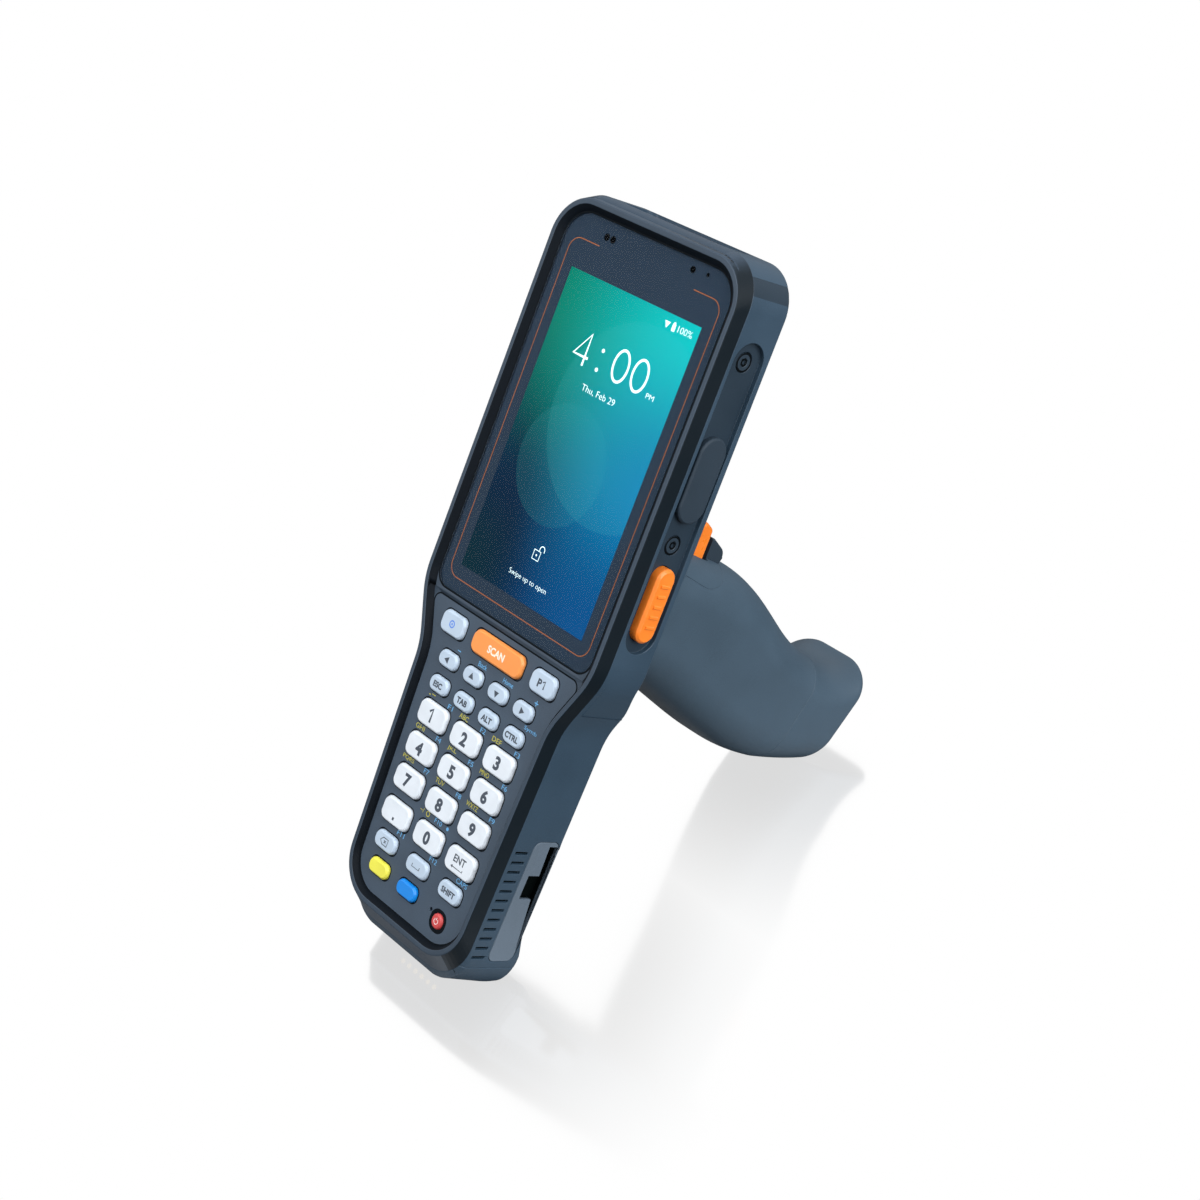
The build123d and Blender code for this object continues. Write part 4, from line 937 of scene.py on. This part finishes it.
class TERMINAL_OT_legends(bpy.types.Operator):
    """Prints the legends on the keys and on the plate between them"""

    bl_idname = "terminal.legends"
    bl_label = "Legends"

    WORDS = {"key_esc": "ESC", "key_tab": "TAB", "key_alt": "ALT", "key_ctrl": "CTRL", "key_shift": "SHIFT"}
    ARROWS = {"key_left": 90, "key_up": 0, "key_down": 180, "key_right": -90}
    ROWS_Y = (-85.8, -96.3, -106.8)
    BLUE_X = (-10.9, 5.0, 21.1)
    BLUE_ROWS = (("F1", "F2", "F3"), ("F4", "F5", "F6"), ("F7", "F8", "F9"))
    BLUE_NOTES = (  # text, x, y, width
        ("F10", 1.1, -117.4, 3.4),
        ("F11", -11.8, -128.0, 3.4),
        ("F12", 4.7, -128.2, 3.4),
        ("CAPS", 18.8, -128.3, 5.0),
        ("Back", -4.4, -69.3, 4.0),
        ("Home", 7.7, -69.3, 4.6),
        ("Symb", 22.6, -77.6, 5.6),
    )
    BLUE_LINES = (((-16.4, -69.6), (-15.0, -69.6)), ((20.2, -69.6), (21.8, -69.6)), ((21.0, -68.8), (21.0, -70.4)))
    YELLOW_X = (-20.0, -4.2, 11.6)
    YELLOW_ROWS = ((".-", "ABC", "DEF"), ("GHI", "JKL", "MNO"), ("PQRS", "TUV", "WXYZ"))
    LETTER_WIDTH = 1.25
    SIGNS_HEIGHT = 0.8
    NOTE_STROKE = 0.3

    def execute(self, context):
        keys = context.scene.terminal_keys
        dark = ink("legend_ink", keys.ink)
        for digit in "023456789":
            self.print_on("key_" + digit, dark, self.text, digit, keys.digit_height, None, 0.045)
        self.print_on("key_1", dark, self.one, keys.digit_height / 2)
        for node, text in self.WORDS.items():
            self.print_on(node, dark, self.text, text, keys.word_height, None, 0.04)
        for node, turn in self.ARROWS.items():
            self.print_on(node, dark, disc, 1.25, 3, turn)
        for name in ("dot", "program", "enter", "space", "delete"):
            self.print_on("key_" + name, dark, getattr(self, name))
        self.print_on("key_home", ink("home_ink", (0.10, 0.25, 0.75)), self.home)
        self.print_on("key_power", ink("power_ink", (0.95, 0.75, 0.75)), self.power)
        self.print_on("key_scan", ink("scan_ink", (1.0, 0.86, 0.74)), self.text, "SCAN", 2.4, 7.6, 0.03)
        self.plate_legends(keys.note_height)
        return {"FINISHED"}

    def print_on(self, node, material, draw, *details):
        """Prints on the top of a key what draw adds to a bmesh at a place."""
        low, high = own_box(node)
        middle = (low + high) / 2
        marks = bmesh.new()
        draw(marks, middle.x, middle.y, high.z + PRINT_RAISE, *details)
        own_piece(node + "_legend", marks, material, node)

    def text(self, marks, x, y, z, text, height, width, weight):
        """A word or a digit."""
        words(marks, text, (x, y, z), height, width, weight)

    def one(self, marks, x, y, z, half):
        """The digit 1 with its flag."""
        stroke(marks, [(x - 1.2, y + half - 1.1), (x + 0.1, y + half), (x + 0.1, y - half)], 0.8, z)

    def dot(self, marks, x, y, z):
        """The full stop, low on its key."""
        block(marks, x, y - 1.8, z, 0.8, 0.9)

    def program(self, marks, x, y, z):
        """P and a drawn 1."""
        words(marks, "P", (x - 0.9, y, z), 2.5, weight=0.04)
        stroke(marks, [(x + 0.3, y + 0.7), (x + 1.2, y + 1.2), (x + 1.2, y - 1.2)], 0.45, z)

    def enter(self, marks, x, y, z):
        """ENT over the return arrow."""
        words(marks, "ENT", (x, y + 0.8, z), 2.3, 5.4, 0.02)
        stroke(marks, [(x - 2.4, y - 1.9), (x + 2.3, y - 1.9), (x + 2.3, y - 1.3)], 0.3, z)
        disc(marks, x - 2.4, y - 1.9, z, 0.6, sides=3, turn=90)

    def space(self, marks, x, y, z):
        """The open tray of the space key."""
        tray = [(x - 1.7, y + 0.4), (x - 1.7, y - 0.5), (x + 1.7, y - 0.5), (x + 1.7, y + 0.4)]
        stroke(marks, tray, 0.3, z)

    def delete(self, marks, x, y, z):
        """The tag of the backspace key, with its cross."""
        tag = [(x - 1.9, y), (x - 0.8, y + 1.1), (x + 1.5, y + 1.1), (x + 1.5, y - 1.1), (x - 0.8, y - 1.1)]
        stroke(marks, tag, 0.32, z, closed=True)
        stroke(marks, [(x - 0.2, y - 0.4), (x + 0.7, y + 0.4)], 0.28, z)
        stroke(marks, [(x - 0.2, y + 0.4), (x + 0.7, y - 0.4)], 0.28, z)

    def home(self, marks, x, y, z):
        """A plain ring round a dot."""
        stroke(marks, arc(x, y, 1.0, 0, 330, 22), 0.42, z, closed=True)
        disc(marks, x, y, z, 0.35)

    def power(self, marks, x, y, z):
        """The open ring and bar of a power key."""
        stroke(marks, arc(x, y, 0.85, 125, 415, 20), 0.24, z)
        stroke(marks, [(x, y + 0.3), (x, y + 1.1)], 0.24, z)

    def plate_legends(self, height):
        """The blue and yellow notes between the keys."""
        _, high = own_box("keypad_plate")
        z = high.z + PRINT_RAISE
        blue, yellow = bmesh.new(), bmesh.new()
        for y, blue_row, yellow_row in zip(self.ROWS_Y, self.BLUE_ROWS, self.YELLOW_ROWS):
            for x, text in zip(self.BLUE_X, blue_row):
                words(blue, text, (x, y, z), height, 2.3)
            for x, text in zip(self.YELLOW_X, yellow_row):
                tall = height if text.isalpha() else self.SIGNS_HEIGHT
                words(yellow, text, (x, y, z), tall, self.LETTER_WIDTH * len(text) + 0.4)
        for text, x, y, width in self.BLUE_NOTES:
            words(blue, text, (x, y, z), height, width)
        for ends in self.BLUE_LINES:
            stroke(blue, ends, self.NOTE_STROKE, z)
        disc(blue, 5.6, -117.4, z, 0.55)
        own_piece("blue_legends", blue, ink("blue_ink", (0.13, 0.40, 0.72)), "keypad_plate")
        words(yellow, "~/", (-7.0, -117.2, z), height, 1.8)
        stroke(yellow, arc(-4.1, -117.3, 0.75, 0, 340, 16), self.NOTE_STROKE, z, closed=True)
        own_piece("yellow_legends", yellow, ink("yellow_ink", (0.50, 0.46, 0.05)), "keypad_plate")


class TERMINAL_OT_inside(bpy.types.Operator):
    """Dresses the board and the scan engine inside the body"""

    bl_idname = "terminal.inside"
    bl_label = "Inside"

    ENGINE_EDGE = 0.2

    def execute(self, context):
        dress("main_board", moulded("board_laminate", (0.01, 0.09, 0.04), 0.4, 0.6))
        dress("scan_engine", plain_dark("engine_black", (0.015, 0.015, 0.018)), self.ENGINE_EDGE)
        return {"FINISHED"}


class TERMINAL_OT_stage(bpy.types.Operator):
    """Makes the pale floor, the even studio light, the lamps and the camera"""

    bl_idname = "terminal.stage"
    bl_label = "Studio"

    FLOOR_HALF = 4.0
    MIRROR = 0.30
    MIRROR_ROUGHNESS = 0.12
    MIRROR_FULL = 0.02
    MIRROR_GONE = 0.12
    CAMERA_PLACE = (462.8, 99.6, 469.9)
    CAMERA_AIM = (29.1, -33.8, 0.0)
    CAMERA_UP = (-0.3933, 0.9135, 0.1037)
    SENSOR_WIDTH = 36.0

    def execute(self, context):
        stage = context.scene.terminal_stage
        context.scene.view_settings.view_transform = "Standard"
        self.floor(context, stage)
        self.sky(context, stage)
        self.lamp(context, "overhead_lamp", (0.1, 0.1, 0.9), 1.1, stage.key)
        self.lamp(context, "side_lamp", (0.85, 0.15, 0.35), 0.8, stage.side)
        self.lamp(context, "front_lamp", (-0.1, -0.65, 0.75), 0.7, stage.front)
        self.camera(context, stage)
        return {"FINISHED"}

    def floor(self, context, stage):
        """A large floor at the height that the terminal stands on."""
        plane = bmesh.new()
        bmesh.ops.create_grid(plane, x_segments=1, y_segments=1, size=self.FLOOR_HALF)
        mesh = bpy.data.meshes.new("floor")
        plane.to_mesh(mesh)
        plane.free()
        floor = bpy.data.objects.new("floor", mesh)
        context.scene.collection.objects.link(floor)
        mesh.materials.append(self.floor_material(stage))

    def floor_material(self, stage):
        """White to the camera, dull to the light, with a mirror image that fades away from the terminal's feet."""
        material, tree, surface = shader("studio_floor")
        tree.nodes.remove(surface)
        dull = tree.nodes.new("ShaderNodeBsdfDiffuse")
        dull.inputs["Color"].default_value = (*stage.floor, 1.0)
        white = tree.nodes.new("ShaderNodeEmission")
        gloss = tree.nodes.new("ShaderNodeBsdfGlossy")
        gloss.inputs["Color"].default_value = (1.0, 1.0, 1.0, 1.0)
        gloss.inputs["Roughness"].default_value = self.MIRROR_ROUGHNESS
        path = tree.nodes.new("ShaderNodeLightPath")
        pale = self.blend(tree, path.outputs["Is Camera Ray"], dull.outputs[0], white.outputs[0])
        both = self.blend(tree, self.nearness(tree), pale, gloss.outputs[0])
        tree.links.new(both, tree.nodes["Material Output"].inputs["Surface"])
        return material

    def blend(self, tree, share, first, second):
        """Mixes two shaders by a share from 0 to 1."""
        node = tree.nodes.new("ShaderNodeMixShader")
        for source, place in zip((share, first, second), node.inputs):
            tree.links.new(source, place)
        return node.outputs[0]

    def nearness(self, tree):
        """The share of mirror on the floor, by how near a point is to a foot."""
        where = tree.nodes.new("ShaderNodeTexCoord").outputs["Object"]
        places = []
        for node in ("bottom_cap", "grip_heel"):
            low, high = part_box(node)
            places.append(distance(tree, where, ((low.x + high.x) / 2, (low.y + high.y) / 2, 0.0)))
        nearest = maths(tree, "MINIMUM", *places)
        return remap(tree, nearest, self.MIRROR_FULL, self.MIRROR_GONE, self.MIRROR, 0.0, soft=True)

    def sky(self, context, stage):
        """Even light, and a white background for the camera, metal and glass."""
        world = bpy.data.worlds.new("studio")
        context.scene.world = world
        world.use_nodes = True
        tree = world.node_tree
        background = tree.nodes["Background"]
        background.inputs["Color"].default_value = (1.0, 1.0, 1.0, 1.0)
        path = tree.nodes.new("ShaderNodeLightPath")
        seen = maths(tree, "MAXIMUM", path.outputs["Is Camera Ray"], path.outputs["Is Glossy Ray"])
        seen = maths(tree, "MAXIMUM", seen, path.outputs["Is Transmission Ray"])
        tree.links.new(remap(tree, seen, 0.0, 1.0, stage.sky, 1.0), background.inputs["Strength"])

    def lamp(self, context, name, offset, size, power):
        """A large lamp aimed at the terminal's middle, from an offset in metres."""
        low, high = CAD_BOX
        middle = (Vector(low) + Vector(high)) / 2
        light = bpy.data.lights.new(name, "AREA")
        light.size = size
        light.energy = power
        lamp = bpy.data.objects.new(name, light)
        lamp.location = middle + Vector(offset)
        lamp.rotation_euler = (-Vector(offset)).to_track_quat("-Z", "Y").to_euler()
        context.scene.collection.objects.link(lamp)

    def camera(self, context, stage):
        """The camera, placed and turned in the terminal's own axes."""
        place = OWN @ Vector(self.CAMERA_PLACE)
        look = (OWN @ Vector(self.CAMERA_AIM) - place).normalized()
        right = look.cross(OWN.to_3x3() @ Vector(self.CAMERA_UP)).normalized()
        turn = Matrix((right, right.cross(look), -look)).transposed()
        data = bpy.data.cameras.new("camera")
        data.sensor_width = self.SENSOR_WIDTH
        data.lens = stage.lens
        camera = bpy.data.objects.new("camera", data)
        camera.matrix_world = Matrix.Translation(place) @ turn.to_4x4()
        context.scene.collection.objects.link(camera)
        context.scene.camera = camera


OPERATORS = (
    TERMINAL_OT_housings,
    TERMINAL_OT_grip,
    TERMINAL_OT_side_controls,
    TERMINAL_OT_screen,
    TERMINAL_OT_keypad,
    TERMINAL_OT_legends,
    TERMINAL_OT_inside,
    TERMINAL_OT_stage,
)
SETTINGS = {
    "terminal_plastic": PlasticSettings,
    "terminal_screen": ScreenSettings,
    "terminal_keys": KeySettings,
    "terminal_stage": StageSettings,
}


class TERMINAL_PT_panel(bpy.types.Panel):
    """Lists the steps and the sizes and colours that they use"""

    bl_idname = "TERMINAL_PT_panel"
    bl_label = "Data terminal"
    bl_space_type = "VIEW_3D"
    bl_region_type = "UI"
    bl_category = "Terminal"

    def draw(self, context):
        for operator in OPERATORS:
            self.layout.operator(operator.bl_idname)
        for name, group in SETTINGS.items():
            box = self.layout.box()
            for prop in group.__annotations__:
                box.prop(getattr(context.scene, name), prop)


CLASSES = (*SETTINGS.values(), *OPERATORS, TERMINAL_PT_panel)


def register():
    """Registers the classes and hangs the settings on the scene."""
    for cls in CLASSES:
        bpy.utils.register_class(cls)
    for name, group in SETTINGS.items():
        setattr(bpy.types.Scene, name, bpy.props.PointerProperty(type=group))


def unregister():
    """Takes away what register added."""
    for name in SETTINGS:
        delattr(bpy.types.Scene, name)
    for cls in reversed(CLASSES):
        bpy.utils.unregister_class(cls)


def main():
    """Runs every step in order."""
    register()
    for operator in OPERATORS:
        group, name = operator.bl_idname.split(".")
        getattr(getattr(bpy.ops, group), name)()


if __name__ == "__main__":
    main()
